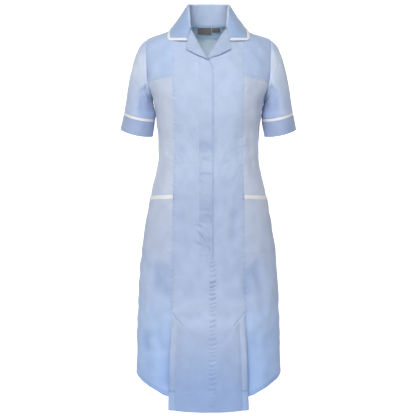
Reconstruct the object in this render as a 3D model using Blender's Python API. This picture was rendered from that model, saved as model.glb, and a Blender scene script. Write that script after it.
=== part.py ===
"""A short-sleeved nurse uniform dress, filled out as if worn, with nobody in it.

The dress faces -Y, +X is the wearer's left and +Z is up. The origin is between the shoulders,
level with the base of the neck, which is where the wearer holds the dress up.
The tables are in millimetres. Every panel is cut from one body form: a stack of rings, where a place
on the form is a turn (the angle from the centre front, in radians) and a height z.
"""

import math
from collections import namedtuple

import bmesh
import bpy
import numpy as np

MM = 0.001

# Cloth
CLOTH = 1.2
SEAM_GAP = 0.4
LAYER_GAP = 0.4
TRIM_THICK = 2.2

# Colours and finishes
PALE_BLUE = (0.47, 0.60, 0.83)
WHITE = (0.86, 0.85, 0.84)
TAUPE = (0.30, 0.28, 0.27)
CLOTH_ROUGHNESS = 0.8

# Main heights
HEM_Z = -1025.0
UNDERARM_Z = -190.0
NECK_Z = 13.0
V_Z = -86.0
PLEAT_TOP_Z = -757.0

# Main widths, from the centre line
NECK_X = 62.0
SHOULDER_SLOPE = 0.39
SHOULDER_TIP_X = 168.0
SHOULDER_TIP_Z = NECK_Z - (SHOULDER_TIP_X - NECK_X) * SHOULDER_SLOPE
V_X = 3.0
CLOSING_X, CLOSING_CURVE = 11.0, 22.0
PLACKET_INNER_X = -25.0
PRINCESS_TOP_X = 93.0
PRINCESS_TOP_Z = NECK_Z - (PRINCESS_TOP_X - NECK_X) * SHOULDER_SLOPE

Ring = namedtuple("Ring", "z half_width front back roundness")
BODY = (
    Ring(30, 17.0, 44, 54, 2.0),
    Ring(NECK_Z, NECK_X, 52, 62, 2.0),
    Ring(-9, 118.4, 72, 77, 1.8),
    Ring(SHOULDER_TIP_Z, SHOULDER_TIP_X, 88, 90, 1.7),
    Ring(-60, 184, 102, 102, 1.9),
    Ring(-100, 183, 115, 108, 2.2),
    Ring(-144, 172, 127, 111, 2.4),
    Ring(UNDERARM_Z, 149.5, 134, 107, 2.5),
    Ring(-231, 143.5, 130, 99, 2.5),
    Ring(-294, 137, 116, 91, 2.5),
    Ring(-327, 136, 111, 90, 2.5),
    Ring(-361, 139, 110, 94, 2.5),
    Ring(-428, 153.5, 112, 107, 2.5),
    Ring(-496, 168, 117, 117, 2.45),
    Ring(-598, 185, 124, 126, 2.4),
    Ring(-719, 196, 134, 134, 2.35),
    Ring(-860, 202, 146, 145, 2.3),
    Ring(HEM_Z, 206, 160, 158, 2.25),
)

Line = namedtuple("Line", "z x")
PRINCESS = (
    Line(PRINCESS_TOP_Z, PRINCESS_TOP_X),
    Line(-124, 92.6),
    Line(-320, 92.0),
    Line(-440, 95.3),
    Line(PLEAT_TOP_Z, 98.5),
    Line(-860, 104.0),
    Line(HEM_Z, 109.5),
)
BACK_PRINCESS = (
    Line(PRINCESS_TOP_Z, PRINCESS_TOP_X),
    Line(-140, 88),
    Line(-327, 72),
    Line(-496, 88),
    Line(HEM_Z, 116),
)
ARMHOLE = (
    Line(SHOULDER_TIP_Z, SHOULDER_TIP_X),
    Line(-60, 166.5),
    Line(-100, 164),
    Line(-141, 160.5),
    Line(-172, 153.5),
    Line(UNDERARM_Z, 149.5),
)
NECKLINE = (
    Line(V_Z, 0),
    Line(-60, 16.5),
    Line(-36, 31),
    Line(-10, 46.5),
    Line(5, 56),
    Line(NECK_Z, NECK_X),
)

# Fullness over the bust, outside the plain rings
BUST_X, BUST_Z = 84.0, -186.0
BUST_RISE, BUST_WIDE, BUST_TALL = 9.0, 46.0, 62.0
BUST_AHEAD = 0.6

# Front hem, and how far the side panels are cut up towards the side seams
CORNER_RISE = 1.5
Hem = namedtuple("Hem", "share z")
SIDE_HEM = (Hem(0.0, -998), Hem(0.18, -982), Hem(0.35, -971), Hem(0.6, -962), Hem(1.0, -958))
BACK_HEM_PRINCESS_Z = -992.0
BACK_HEM_CENTRE_Z = -998.0
BACK_HEM_BEND = 0.5

# Kick pleats: the side panel runs on under the centre panel
PLEAT_UNDERLAY = 34.0
PLEAT_SLANT = 38.0
PLEAT_TUCK, PLEAT_TUCK_FROM, PLEAT_TUCK_TO = 3.4, 4.0, 22.0
PLEAT_SINK = 27.0
PLEAT_HOLLOW = 12.0
PLEAT_HOLLOW_WIDE = 52.0

# Rows of the front panels where they meet the princess seam. The pocket and its trim lie on whole rows
TRIM_TOP_Z, TRIM_LOW_Z, POCKET_LOW_Z = -439.0, -449.5, -599.0
POCKET_RAISE, POCKET_RAISE_SPREAD = 12.0, 60.0
PLACKET_SHORT = 3
YOKE_INNER_Z, YOKE_OUTER_Z = -124.0, -141.0
PRINCESS_ROWS = (
    -998, -950, -890, -835, -785, -757, -728, -690, -645, POCKET_LOW_Z, -550, -500,
    TRIM_LOW_Z, TRIM_TOP_Z, -405, -370, -338, -306, -274, -242, -212, -182, -153, YOKE_INNER_Z,
)
YOKE_ROWS = (YOKE_INNER_Z, -98, -72, -48, -28, -13, -4, -0.2, PRINCESS_TOP_Z)
YOKE_ARM_ROWS = (YOKE_OUTER_Z, -119, -98, -79, -62, -48, -37.5, -31, SHOULDER_TIP_Z)
LOW_ARM_ROWS = (-153, -164, -174, -182, -187.5)
BACK_ARM_ROWS = (-182, -164, -141, -119, -98, -62, -37.5, SHOULDER_TIP_Z)
RIGHT_COLUMNS = (-7.0, PLACKET_INNER_X, -44.0, -NECK_X, -78.0)
LEFT_COLUMNS = (32.0, 47.0, NECK_X, 78.0)
YOKE_COLUMNS, NECK_COLUMNS, SIDE_BACK_COLUMNS, SHOULDER_COLUMNS = 5, 6, 7, 3
BOW_FADE = 5
PLACKET_THICK = 1.0

# Sleeve
Cuff = namedtuple("Cuff", "x z lateral_x lateral_z deep dip")
CUFF_TOP = Cuff(189.3, -231.5, 42.0, 9.3, 61.0, 3.0)
CUFF_HEM = Cuff(198.0, -279.0, 43.5, 10.0, 62.0, 3.5)
SLEEVE_STEPS, SLEEVE_COLUMNS = 9, 28
SLEEVE_CAP, SLEEVE_FALL = 0.22, 0.40
CAP_LOW, CAP_HIGH, CAP_AHEAD = (0.25, -0.90), (0.85, -0.55), -0.30
SLEEVE_CLEAR, UNDERARM_CLEAR = 1.0, 2.4
UNDERARM_FROM, UNDERARM_TO = 0.55, 0.95
CUFF_THICK, CUFF_ROWS = 1.8, 4
PIPING_TALL = 7.0

# Collar, from one front end (turn 0) to the centre back (turn 1), on the wearer's left
Collar = namedtuple("Collar", "turn roll_x roll_y roll_z middle_x middle_y middle_z edge_x edge_y edge_z")
COLLAR = (
    Collar(0.00, 46, -66, 3, 56, -91, -33, 108, -67, -31),
    Collar(0.10, 48, -54, 25, 76, -71, -8, 110, -50, -15.5),
    Collar(0.22, 50, -35, 50, 78, -38, 18, 107.5, -22, -3.5),
    Collar(0.38, 52.5, -2, 67.5, 78.5, -2, 34, 104, 3, 1),
    Collar(0.55, 47, 26, 70.5, 66, 35, 36, 89, 42, 0),
    Collar(0.75, 28, 45, 72.5, 39, 59, 37, 54, 77, -2),
    Collar(1.00, 0, 53, 73.5, 0, 71, 37, 0, 88, -4),
)
COLLAR_TURNS = (0, 0.025, 0.07, 0.12, 0.19, 0.28, 0.38, 0.48, 0.6, 0.73, 0.87, 1.0)
COLLAR_SHARES = (0, 0.12, 0.24, 0.28, 0.32, 0.36, 0.4, 0.51, 0.62, 0.74, 0.86, 0.935, 1.0)
COLLAR_SQUARE_TURN = 0.15
SEAM_FRONT_X = 52.5
SIDE_TURN = 0.38
STAND_SHARE, FALL_SHARE, MIDDLE_SHARE = 0.24, 0.40, 0.62
ROLL_RADIUS = 3.0
COLLAR_THICK = 1.4
CORNER_CUT = 0.35
PIPING_THICK = 1.0
SEAM_STAND = 0.9

# Lapels. Each one is an outline of four sides on the front, in x and z
LAPEL_CORNER = (58.5, -56.0)
LAPEL_NOTCH = (56.5, -35.5)
LAPEL_ROLL = (Line(-84.5, -2.6), Line(-75, 2.5), Line(-36, 26.5), Line(-3, 44.0))
LEFT_LAPEL_ROLL = (
    Line(-79.5, 5.5), Line(-72, 3.5), Line(-55, 10.0), Line(-36, 20.5), Line(-20, 31.0), Line(-3, 43.5),
)
LAPEL_BOW, LAPEL_ROWS = 2.5, 8
Lift = namedtuple("Lift", "share height")
LAPEL_LIFT = (
    Lift(0.0, -0.6), Lift(0.05, 2.2), Lift(0.14, 4.8), Lift(0.3, 5.6), Lift(0.6, 4.4), Lift(1.0, 2.6),
)

# What shows inside the back of the neck
FACING_ROWS = 5
LABEL_X, SIZE_LABEL_X, LABEL_Z = -31.0, 10.0, 12.0
LABEL_SIZE = (39.0, 17.5)
SIZE_LABEL_SIZE = (23.0, 11.5)
LABEL_DEPTH, LABEL_THICK = 2.6, 1.0
LABEL_COLUMNS, LABEL_ROWS = 4, 3


def smooth(rows, column, along="z"):
    """A smooth curve through a table's values, without overshoot, as a function of its first column."""
    pairs = sorted((getattr(row, along), getattr(row, column)) for row in rows)
    x, y = np.array(pairs, float).T
    step, slope = np.diff(x), np.diff(y) / np.diff(x)
    turn = np.zeros_like(y)
    turn[0], turn[-1] = slope[0], slope[-1]
    same = slope[:-1] * slope[1:] > 0
    before, after = 2 * step[1:] + step[:-1], step[1:] + 2 * step[:-1]
    with np.errstate(divide="ignore", invalid="ignore"):
        mean = (before + after) / (before / slope[:-1] + after / slope[1:])
    turn[1:-1] = np.where(same, mean, 0.0)

    def at(value):
        value = np.clip(value, x[0], x[-1])
        i = np.clip(np.searchsorted(x, value) - 1, 0, len(step) - 1)
        t = (value - x[i]) / step[i]
        return (
            y[i] * (1 + 2 * t) * (1 - t) ** 2
            + turn[i] * step[i] * t * (1 - t) ** 2
            + y[i + 1] * t * t * (3 - 2 * t)
            + turn[i + 1] * step[i] * t * t * (t - 1)
        )

    return at


half_width = smooth(BODY, "half_width")
front_depth = smooth(BODY, "front")
back_depth = smooth(BODY, "back")
roundness = smooth(BODY, "roundness")
princess_x = smooth(PRINCESS, "x")
back_princess_x = smooth(BACK_PRINCESS, "x")
armhole_x = smooth(ARMHOLE, "x")
neckline_z = smooth(NECKLINE, "z", along="x")
side_hem_z = smooth(SIDE_HEM, "z", along="share")


def ramp(value, start, end):
    """0 at start and 1 at end, with soft ends."""
    t = np.clip((value - start) / (end - start), 0, 1)
    return t * t * (3 - 2 * t)


def turn_of(x, z, back=False):
    """The turn of the point of the form at x, seen from the front or the back."""
    depth = back_depth(z) if back else front_depth(z)
    power = roundness(z)
    share = np.clip(np.abs(x) / half_width(z), 0, 1)
    deep = depth * (1 - share**power) ** (1 / power)
    turn = np.arctan2(np.abs(x), deep)
    turn = math.pi - turn if back else turn
    return np.copysign(turn, x)


def form(turn, z):
    """The point of the bare form, as an array whose last axis is x, y and z."""
    turn, z = np.broadcast_arrays(np.asarray(turn, float), np.asarray(z, float))
    side, ahead = np.sin(turn), np.cos(turn)
    depth = np.where(ahead > 0, front_depth(z), back_depth(z))
    power = roundness(z)
    reach = ((np.abs(side) / half_width(z)) ** power + (np.abs(ahead) / depth) ** power) ** (-1 / power)
    x, y = reach * side, -reach * ahead
    bust = BUST_RISE * np.exp(-(((np.abs(x) - BUST_X) / BUST_WIDE) ** 2) - ((z - BUST_Z) / BUST_TALL) ** 2)
    return np.stack([x, y - bust * ramp(ahead, 0.0, BUST_AHEAD), z], axis=-1)


def unit(vectors):
    return vectors / np.linalg.norm(vectors, axis=-1, keepdims=True)


def normal(turn, z):
    """Which way is out of the form, at each point."""
    small_turn, small_z = 0.004, 0.4
    across = form(turn + small_turn, z) - form(turn - small_turn, z)
    up = form(turn, z + small_z) - form(turn, z - small_z)
    return unit(np.cross(across, up))


def on_form(turn, z, out=0.0):
    """Points of the form, moved out by so many millimetres."""
    return form(turn, z) + normal(turn, z) * np.asarray(out, float)[..., None]


def between_edges(left, right, low, top, shares=None, fade=1):
    """A sheet of (turn, z) places between four edges. left and right run up, low and top run right.

    The rows are straight but for the bows of the low and top edges, which die out sooner with more fade.
    """
    u = np.linspace(0, 1, len(low)) if shares is None else shares
    u = u[None, :, None]
    v = np.linspace(0, 1, len(left))[:, None, None]
    rows = (1 - u) * left[:, None] + u * right[:, None]
    low_bow = low - rows[0]
    top_bow = top - rows[-1]
    return rows + (1 - v) ** fade * low_bow + v**fade * top_bow


def drawn_in(places, low=True, top=True, left=True, right=True):
    """The places again, with the chosen edges half a seam gap inside."""
    places = places.copy()
    edges = ((left, np.s_[:, 0], np.s_[:, 1]), (right, np.s_[:, -1], np.s_[:, -2]),
             (low, np.s_[0], np.s_[1]), (top, np.s_[-1], np.s_[-2]))
    for wanted, edge, inside in edges:
        if not wanted:
            continue
        here, there = places[edge], places[inside]
        far = np.linalg.norm(form(*here.T) - form(*there.T), axis=-1)
        places[edge] = here + (there - here) * (SEAM_GAP / 2 / far)[:, None]
    return places


def material(name, colour, roughness_value=CLOTH_ROUGHNESS):
    made = bpy.data.materials.new(name)
    made.use_nodes = True
    shader = made.node_tree.nodes["Principled BSDF"]
    shader.inputs["Base Color"].default_value = (*colour, 1)
    shader.inputs["Roughness"].default_value = roughness_value
    shader.inputs["Metallic"].default_value = 0.0
    return made


def add_solid(name, points, faces, colour):
    """One closed object from points in millimetres, its faces turned outwards."""
    mesh = bpy.data.meshes.new(name)
    mesh.from_pydata([tuple(p * MM) for p in points], [], faces)
    shape = bmesh.new()
    shape.from_mesh(mesh)
    bmesh.ops.recalc_face_normals(shape, faces=shape.faces)
    if shape.calc_volume(signed=True) < 0:
        bmesh.ops.reverse_faces(shape, faces=shape.faces)
    shape.to_mesh(mesh)
    shape.free()
    mesh.shade_smooth()
    mesh.set_sharp_from_angle(angle=math.radians(40))
    made = bpy.data.objects.new(name, mesh)
    bpy.context.scene.collection.objects.link(made)
    made.data.materials.append(material(name + "_cloth", colour))
    return made


def wall(name, outer, inner, colour, ring=False):
    """A wall of cloth between two sheets of points. A ring's columns go all the way round."""
    rows, columns = outer.shape[:2]
    count = rows * columns
    points = np.concatenate([outer.reshape(-1, 3), inner.reshape(-1, 3)])
    last = columns if ring else columns - 1
    faces = []

    def at(row, column, side):
        return side * count + row * columns + column % columns

    for row in range(rows - 1):
        for column in range(last):
            square = ((row, column), (row, column + 1), (row + 1, column + 1), (row + 1, column))
            faces.append([at(*corner, 0) for corner in square])
            faces.append([at(*corner, 1) for corner in square])
    rims = [((row, column), (row, column + 1)) for row in (0, rows - 1) for column in range(last)]
    if not ring:
        ends = (0, columns - 1)
        rims += [((row, column), (row + 1, column)) for column in ends for row in range(rows - 1)]
    for here, there in rims:
        faces.append([at(*here, 0), at(*here, 1), at(*there, 1), at(*there, 0)])
    return add_solid(name, points, faces, colour)


def panel(name, places, colour=PALE_BLUE, out=0.0, thick=CLOTH, lift=None):
    """A wall of cloth on the form: its inner face is at out, apart from lift, a sheet of extra heights."""
    turn, z = places[..., 0], places[..., 1]
    base = out + (0 if lift is None else lift)
    heights = np.broadcast_to(np.asarray(base, float), turn.shape)
    return wall(name, on_form(turn, z, heights + thick), on_form(turn, z, heights), colour)


def side_name(base, side):
    return base + ("_left" if side > 0 else "_right")


def shoulder_z(x):
    return NECK_Z - (np.abs(x) - NECK_X) * SHOULDER_SLOPE


def places_of(turns, heights):
    return np.stack(np.broadcast_arrays(np.asarray(turns, float), np.asarray(heights, float)), axis=-1)


def closing_x(z):
    """The closing edge runs at one distance from the centre, and curves in to the V."""
    return CLOSING_X + (V_X - CLOSING_X) * ramp(z, V_Z - CLOSING_CURVE, V_Z)


def centre_front_places(side):
    """A centre front panel, from the closing edge to the princess seam. The right one passes the centre."""
    seam_rows = np.array((HEM_Z + CORNER_RISE, *PRINCESS_ROWS[1:], *YOKE_ROWS[1:]))
    share = (seam_rows - seam_rows[0]) / (seam_rows[-1] - seam_rows[0])

    def heights(low, top):
        bow = (low - seam_rows[0]) * (1 - share) ** BOW_FADE + (top - seam_rows[-1]) * share**BOW_FADE
        return seam_rows + bow

    closing = heights(HEM_Z, V_Z)
    columns = [places_of(turn_of(closing_x(closing), closing), closing)]
    for x in LEFT_COLUMNS if side > 0 else RIGHT_COLUMNS:
        top = shoulder_z(x) if abs(x) >= NECK_X else float(neckline_z(abs(x)))
        low = HEM_Z + CORNER_RISE * (x / PRINCESS[-1].x) ** 2
        z = heights(low, top)
        columns.append(places_of(turn_of(np.full_like(z, x), z), z))
    columns.append(places_of(side * turn_of(princess_x(seam_rows), seam_rows), seam_rows))
    return np.stack(columns, axis=1)


def side_seam_rows():
    """Heights of the rows at the side seam, from the hem to the underarm."""
    rows = np.array(PRINCESS_ROWS, float)
    share = (rows - rows[0]) / (rows[-1] - rows[0])
    heights = SIDE_HEM[-1].z + share * (UNDERARM_Z - SIDE_HEM[-1].z)
    return heights + POCKET_RAISE * np.exp(-(((rows - TRIM_TOP_Z) / POCKET_RAISE_SPREAD) ** 2))


def yoke_seam():
    """The seam across the front below the shoulder, from the princess seam to the armhole."""
    inner = (float(turn_of(princess_x(YOKE_INNER_Z), YOKE_INNER_Z)), YOKE_INNER_Z)
    outer = (float(turn_of(armhole_x(YOKE_OUTER_Z), YOKE_OUTER_Z)), YOKE_OUTER_Z)
    return np.linspace(inner, outer, YOKE_COLUMNS)


def side_front_places(side):
    """A side front panel, from the princess seam to the side seam, and up to the yoke and the armhole."""
    rows = np.array(PRINCESS_ROWS, float)
    inner = places_of(turn_of(princess_x(rows), rows), rows)
    outer = places_of(math.pi / 2, side_seam_rows())
    arm_z = np.array((*LOW_ARM_ROWS, UNDERARM_Z))
    top = np.concatenate([yoke_seam(), places_of(turn_of(armhole_x(arm_z), arm_z), arm_z)])
    spread = np.linspace(0, 1, len(top))
    low = places_of(inner[0, 0] + spread * (outer[0, 0] - inner[0, 0]), side_hem_z(spread))
    return between_edges(inner, outer, low, top, fade=BOW_FADE) * (side, 1)


def yoke_places(side):
    rows, arm_rows = np.array(YOKE_ROWS), np.array(YOKE_ARM_ROWS)
    inner = places_of(turn_of(princess_x(rows), rows), rows)
    outer = places_of(turn_of(armhole_x(arm_rows), arm_rows), arm_rows)
    top = places_of(math.pi / 2, np.linspace(inner[-1, 1], outer[-1, 1], YOKE_COLUMNS))
    return between_edges(inner, outer, yoke_seam(), top) * (side, 1)


def back_seam():
    rows = np.array((BACK_HEM_PRINCESS_Z, *PRINCESS_ROWS[1:], *YOKE_ROWS[1:]))
    return places_of(turn_of(back_princess_x(rows), rows, back=True), rows)


def centre_back_places():
    """The centre back panel, drawn on the left half from the seam to the centre, then mirrored."""
    seam = back_seam()
    shoulder = places_of(math.pi / 2, np.linspace(seam[-1, 1], NECK_Z, SHOULDER_COLUMNS))
    neck = places_of(np.linspace(math.pi / 2, math.pi, NECK_COLUMNS), NECK_Z)[1:]
    top = np.concatenate([shoulder, neck])
    spread = np.linspace(0, 1, len(top))
    low = places_of(
        seam[0, 0] + spread * (math.pi - seam[0, 0]),
        BACK_HEM_PRINCESS_Z + spread**2 * (BACK_HEM_CENTRE_Z - BACK_HEM_PRINCESS_Z),
    )
    share = (seam[:, 1] - seam[0, 1]) / (seam[-1, 1] - seam[0, 1])
    centre = places_of(math.pi, BACK_HEM_CENTRE_Z + share * (NECK_Z - BACK_HEM_CENTRE_Z))
    half = between_edges(seam, centre, low, top, fade=BOW_FADE)
    other = (2 * math.pi, 0) + half[:, -2::-1] * (-1, 1)
    return np.concatenate([half, other], axis=1)


def side_back_places(side):
    """A side back panel, from the princess seam to the side seam and the back armhole."""
    inner = back_seam()
    below = side_seam_rows()
    arm_z = np.array(BACK_ARM_ROWS, float)
    outer = np.concatenate([
        places_of(math.pi / 2, below),
        places_of(turn_of(armhole_x(arm_z), arm_z, back=True), arm_z),
    ])
    top = places_of(math.pi / 2, np.linspace(inner[-1, 1], outer[-1, 1], SIDE_BACK_COLUMNS))
    spread = np.linspace(0, 1, SIDE_BACK_COLUMNS)
    bend = (1 + BACK_HEM_BEND) * spread - BACK_HEM_BEND * spread**2
    low = places_of(
        inner[0, 0] + spread * (outer[0, 0] - inner[0, 0]),
        BACK_HEM_PRINCESS_Z + bend * (SIDE_HEM[-1].z - BACK_HEM_PRINCESS_Z),
    )
    return between_edges(inner, outer, low, top, fade=BOW_FADE) * (side, 1)


def tucked_under(places, side):
    """The side front panel again with its kick pleat, and how far each place lies behind the form.

    Below the pleat's top the first column runs on under the centre panel, and the next ones sink behind it.
    """
    places = places.copy()
    inner, z = places[:, 0], places[:, 0, 1]
    opened = ramp(-z, -PLEAT_TOP_Z, PLEAT_SLANT - PLEAT_TOP_Z)
    hidden = np.maximum(princess_x(z) - PLEAT_UNDERLAY * opened, 0)
    inner[:, 0] = np.where(opened > 0, side * turn_of(hidden, z), inner[:, 0])
    sunk = ramp(-z, -PLEAT_TOP_Z - PLEAT_SINK, -PLEAT_TOP_Z)
    hollow = ramp(-z, -PLEAT_TOP_Z, -SIDE_HEM[0].z)
    away = np.abs(form(places[..., 0], places[..., 1])[..., 0]) - princess_x(z)[:, None]
    near = 1 - ramp(away, 0, PLEAT_HOLLOW_WIDE)
    close = 1 - ramp(away, PLEAT_TUCK_FROM, PLEAT_TUCK_TO)
    behind = PLEAT_TUCK * sunk[:, None] * close + PLEAT_HOLLOW * hollow[:, None] * near
    return places, -behind


def unit_normals(points, ring):
    """Normals of a sheet of points, from its neighbours along rows and columns."""
    down = np.gradient(points, axis=0)
    if ring:
        across = np.roll(points, -1, axis=1) - np.roll(points, 1, axis=1)
    else:
        across = np.gradient(points, axis=1)
    return unit(np.cross(across, down))


def thickened(name, points, thick, colour, ring=False):
    """A wall of cloth with the sheet of points in its middle."""
    out = unit_normals(points, ring)
    return wall(name, points + out * thick / 2, points - out * thick / 2, colour, ring)


def cuff_ring(cuff, around):
    """An oval round the arm, tilted with the sleeve. around is 0 outside and a half turn at the body."""
    side, ahead = np.cos(around), np.sin(around)
    return np.stack([
        cuff.x + cuff.lateral_x * side,
        -cuff.deep * ahead,
        cuff.z + cuff.lateral_z * side - cuff.dip * ahead**2,
    ], axis=-1)


def armhole_point(around):
    """The point of the armhole edge that the sleeve meets, matched by the way round it."""
    share = np.abs((around + math.pi) % (2 * math.pi) - math.pi) / math.pi
    z = SHOULDER_TIP_Z + (UNDERARM_Z - SHOULDER_TIP_Z) * (1 - np.cos(math.pi * share)) / 2
    back = np.sin(around) < 0
    ahead = turn_of(armhole_x(z), z)
    behind = turn_of(armhole_x(z), z, back=True)
    edge = on_form(np.where(back, behind, ahead), z, CLOTH / 2)
    edge[..., 0] += SLEEVE_CLEAR + (UNDERARM_CLEAR - SLEEVE_CLEAR) * ramp(share, UNDERARM_FROM, UNDERARM_TO)
    return edge


def sleeve_point(around, share):
    """A point of the wearer's left sleeve, from the armhole at share 0 to the cuff's top at 1."""
    start, end = armhole_point(around), cuff_ring(CUFF_TOP, around)
    axis = np.array([CUFF_HEM.x - CUFF_TOP.x, 0, CUFF_HEM.z - CUFF_TOP.z])
    axis = axis / np.linalg.norm(axis)
    reach = np.linalg.norm(end - start, axis=-1)[..., None]
    high = (1 + np.cos(around))[..., None] / 2
    ahead = np.sin(around)[..., None]
    out, down = ((1 - high) * low + high * top for low, top in zip(CAP_LOW, CAP_HIGH))
    flat = np.concatenate([out, CAP_AHEAD * ahead, down], axis=-1)
    near = start + unit(flat) * reach * SLEEVE_CAP
    far = end - axis * reach * SLEEVE_FALL
    t = share
    return (
        (1 - t) ** 3 * start + 3 * t * (1 - t) ** 2 * near + 3 * t * t * (1 - t) * far + t**3 * end
    )


def mirrored(points, side):
    return points * (side, 1, 1)


def add_sleeve(side):
    """The sleeve, its white piping and its cuff."""
    around = np.linspace(0, 2 * math.pi, SLEEVE_COLUMNS, endpoint=False)
    shares = np.linspace(0, 1, SLEEVE_STEPS)
    rows = np.stack([sleeve_point(around, share) for share in shares])
    thickened(side_name("sleeve", side), mirrored(rows, side), CLOTH, PALE_BLUE, ring=True)
    length = math.hypot(CUFF_HEM.x - CUFF_TOP.x, CUFF_HEM.z - CUFF_TOP.z)

    def ring_at(depth):
        share = depth / length
        return (1 - share) * cuff_ring(CUFF_TOP, around) + share * cuff_ring(CUFF_HEM, around)

    piping = np.stack([ring_at(depth) for depth in (SEAM_GAP, PIPING_TALL)])
    thickened(side_name("sleeve_piping", side), mirrored(piping, side), TRIM_THICK, WHITE, ring=True)
    cuff = np.stack([ring_at(depth) for depth in np.linspace(PIPING_TALL + SEAM_GAP, length, CUFF_ROWS)])
    thickened(side_name("cuff", side), mirrored(cuff, side), CUFF_THICK, PALE_BLUE, ring=True)


def collar_seam(turn):
    """The neck seam that the collar stands on, from its front end round to the centre back."""
    front = np.minimum(turn / SIDE_TURN, 1)
    x = SEAM_FRONT_X + (NECK_X - SEAM_FRONT_X) * front
    z = neckline_z(x)
    round_back = math.pi / 2 + math.pi / 2 * np.clip((turn - SIDE_TURN) / (1 - SIDE_TURN), 0, 1)
    place = np.where(turn < SIDE_TURN, turn_of(x, z), round_back)
    return on_form(place, z, CLOTH / 2) + (0, 0, SEAM_STAND)


def collar_line(part):
    curves = [smooth(COLLAR, part + axis, along="turn") for axis in ("_x", "_y", "_z")]
    return lambda turn: np.array([float(curve(turn)) for curve in curves])


collar_roll, collar_middle, collar_edge = (collar_line(part) for part in ("roll", "middle", "edge"))


def collar_point(turn, share):
    """A point of the collar: up the stand, over the roll and down the fall. Past turn 1 it is mirrored."""
    if turn > 1:
        return mirrored(collar_point(2 - turn, share), -1)
    seam, roll, middle, edge = collar_seam(turn), collar_roll(turn), collar_middle(turn), collar_edge(turn)
    outward = unit((middle - roll) * (1, 1, 0))
    start = roll - (0, 0, ROLL_RADIUS)
    if share <= STAND_SHARE:
        return seam + (start - seam) * share / STAND_SHARE
    if share <= FALL_SHARE:
        bend = math.pi * (share - STAND_SHARE) / (FALL_SHARE - STAND_SHARE)
        return start + outward * ROLL_RADIUS * (1 - math.cos(bend)) + (0, 0, ROLL_RADIUS * math.sin(bend))
    top = start + outward * 2 * ROLL_RADIUS
    t = (share - FALL_SHARE) / (1 - FALL_SHARE)
    through = (MIDDLE_SHARE - FALL_SHARE) / (1 - FALL_SHARE)
    pull = (middle - (1 - through) ** 2 * top - through**2 * edge) / (2 * through * (1 - through))
    curved = (1 - t) ** 2 * top + 2 * t * (1 - t) * pull + t * t * edge
    if t < through:
        square = top + (middle - top) * t / through
    else:
        square = middle + (edge - middle) * (t - through) / (1 - through)
    return square + (curved - square) * ramp(turn, 0, COLLAR_SQUARE_TURN)


def add_collar():
    """The collar in one piece, with white piping along its edge and up both front ends to the notches."""
    turns = [*COLLAR_TURNS, *[2 - turn for turn in COLLAR_TURNS[-2::-1]]]
    points = np.array([[collar_point(turn, share) for turn in turns] for share in COLLAR_SHARES])
    for end, inside in ((0, 1), (-1, -2)):
        points[-1, end] += (points[-2, inside] - points[-1, end]) * CORNER_CUT
    out = unit_normals(points, False)
    if out[-1, len(turns) // 2, 1] < 0:
        out = -out
    wall("collar", points + out * COLLAR_THICK / 2, points - out * COLLAR_THICK / 2, PALE_BLUE)
    base = COLLAR_THICK / 2 + LAYER_GAP
    notch = COLLAR_SHARES.index(MIDDLE_SHARE)

    def piping(name, rows, columns, short=False):
        sheet, raised = points[rows, columns].copy(), out[rows, columns]
        if short:
            sheet[-1] += unit(sheet[-2] - sheet[-1]) * SEAM_GAP
        wall(name, sheet + raised * (base + PIPING_THICK), sheet + raised * base, WHITE)

    piping("collar_piping", slice(-2, None), slice(None))
    piping("collar_end_piping_left", slice(notch, -1), slice(0, 2), short=True)
    piping("collar_end_piping_right", slice(notch, -1), slice(-2, None), short=True)


def add_lapel(side):
    """A lapel: the front facing, turned back on the chest from the roll line."""
    roll = LAPEL_ROLL if side < 0 else LEFT_LAPEL_ROLL
    heights = np.linspace(roll[0].z, roll[-1].z, LAPEL_ROWS)
    left = np.stack([smooth(roll, "x")(heights), heights], axis=-1)
    right = np.linspace(LAPEL_CORNER, LAPEL_NOTCH, LAPEL_ROWS)
    shares = np.array([row.share for row in LAPEL_LIFT])
    low = left[0] + shares[:, None] * (right[0] - left[0])
    low[:, 1] -= LAPEL_BOW * np.sin(math.pi * shares)
    top = left[-1] + shares[:, None] * (right[-1] - left[-1])
    flat = between_edges(left, right, low, top, shares)
    turn = turn_of(flat[..., 0], flat[..., 1])
    lift = np.array([row.height for row in LAPEL_LIFT]) + np.zeros(turn.shape)
    panel(side_name("lapel", side), places_of(side * turn, flat[..., 1]), out=LAYER_GAP, lift=lift)


def add_label(name, left, top, size, colour):
    """A bare label on the back neck facing."""
    x = np.linspace(left, left + size[0], LABEL_COLUMNS)[None]
    z = np.linspace(top - size[1], top, LABEL_ROWS)[:, None]
    x, z = np.broadcast_arrays(x, z)
    places = places_of(turn_of(x, z, back=True), z)
    panel(name, places, colour, out=-LABEL_DEPTH - LABEL_THICK, thick=LABEL_THICK)


def remove_scene_objects():
    for item in list(bpy.data.objects):
        bpy.data.objects.remove(item, do_unlink=True)


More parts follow.
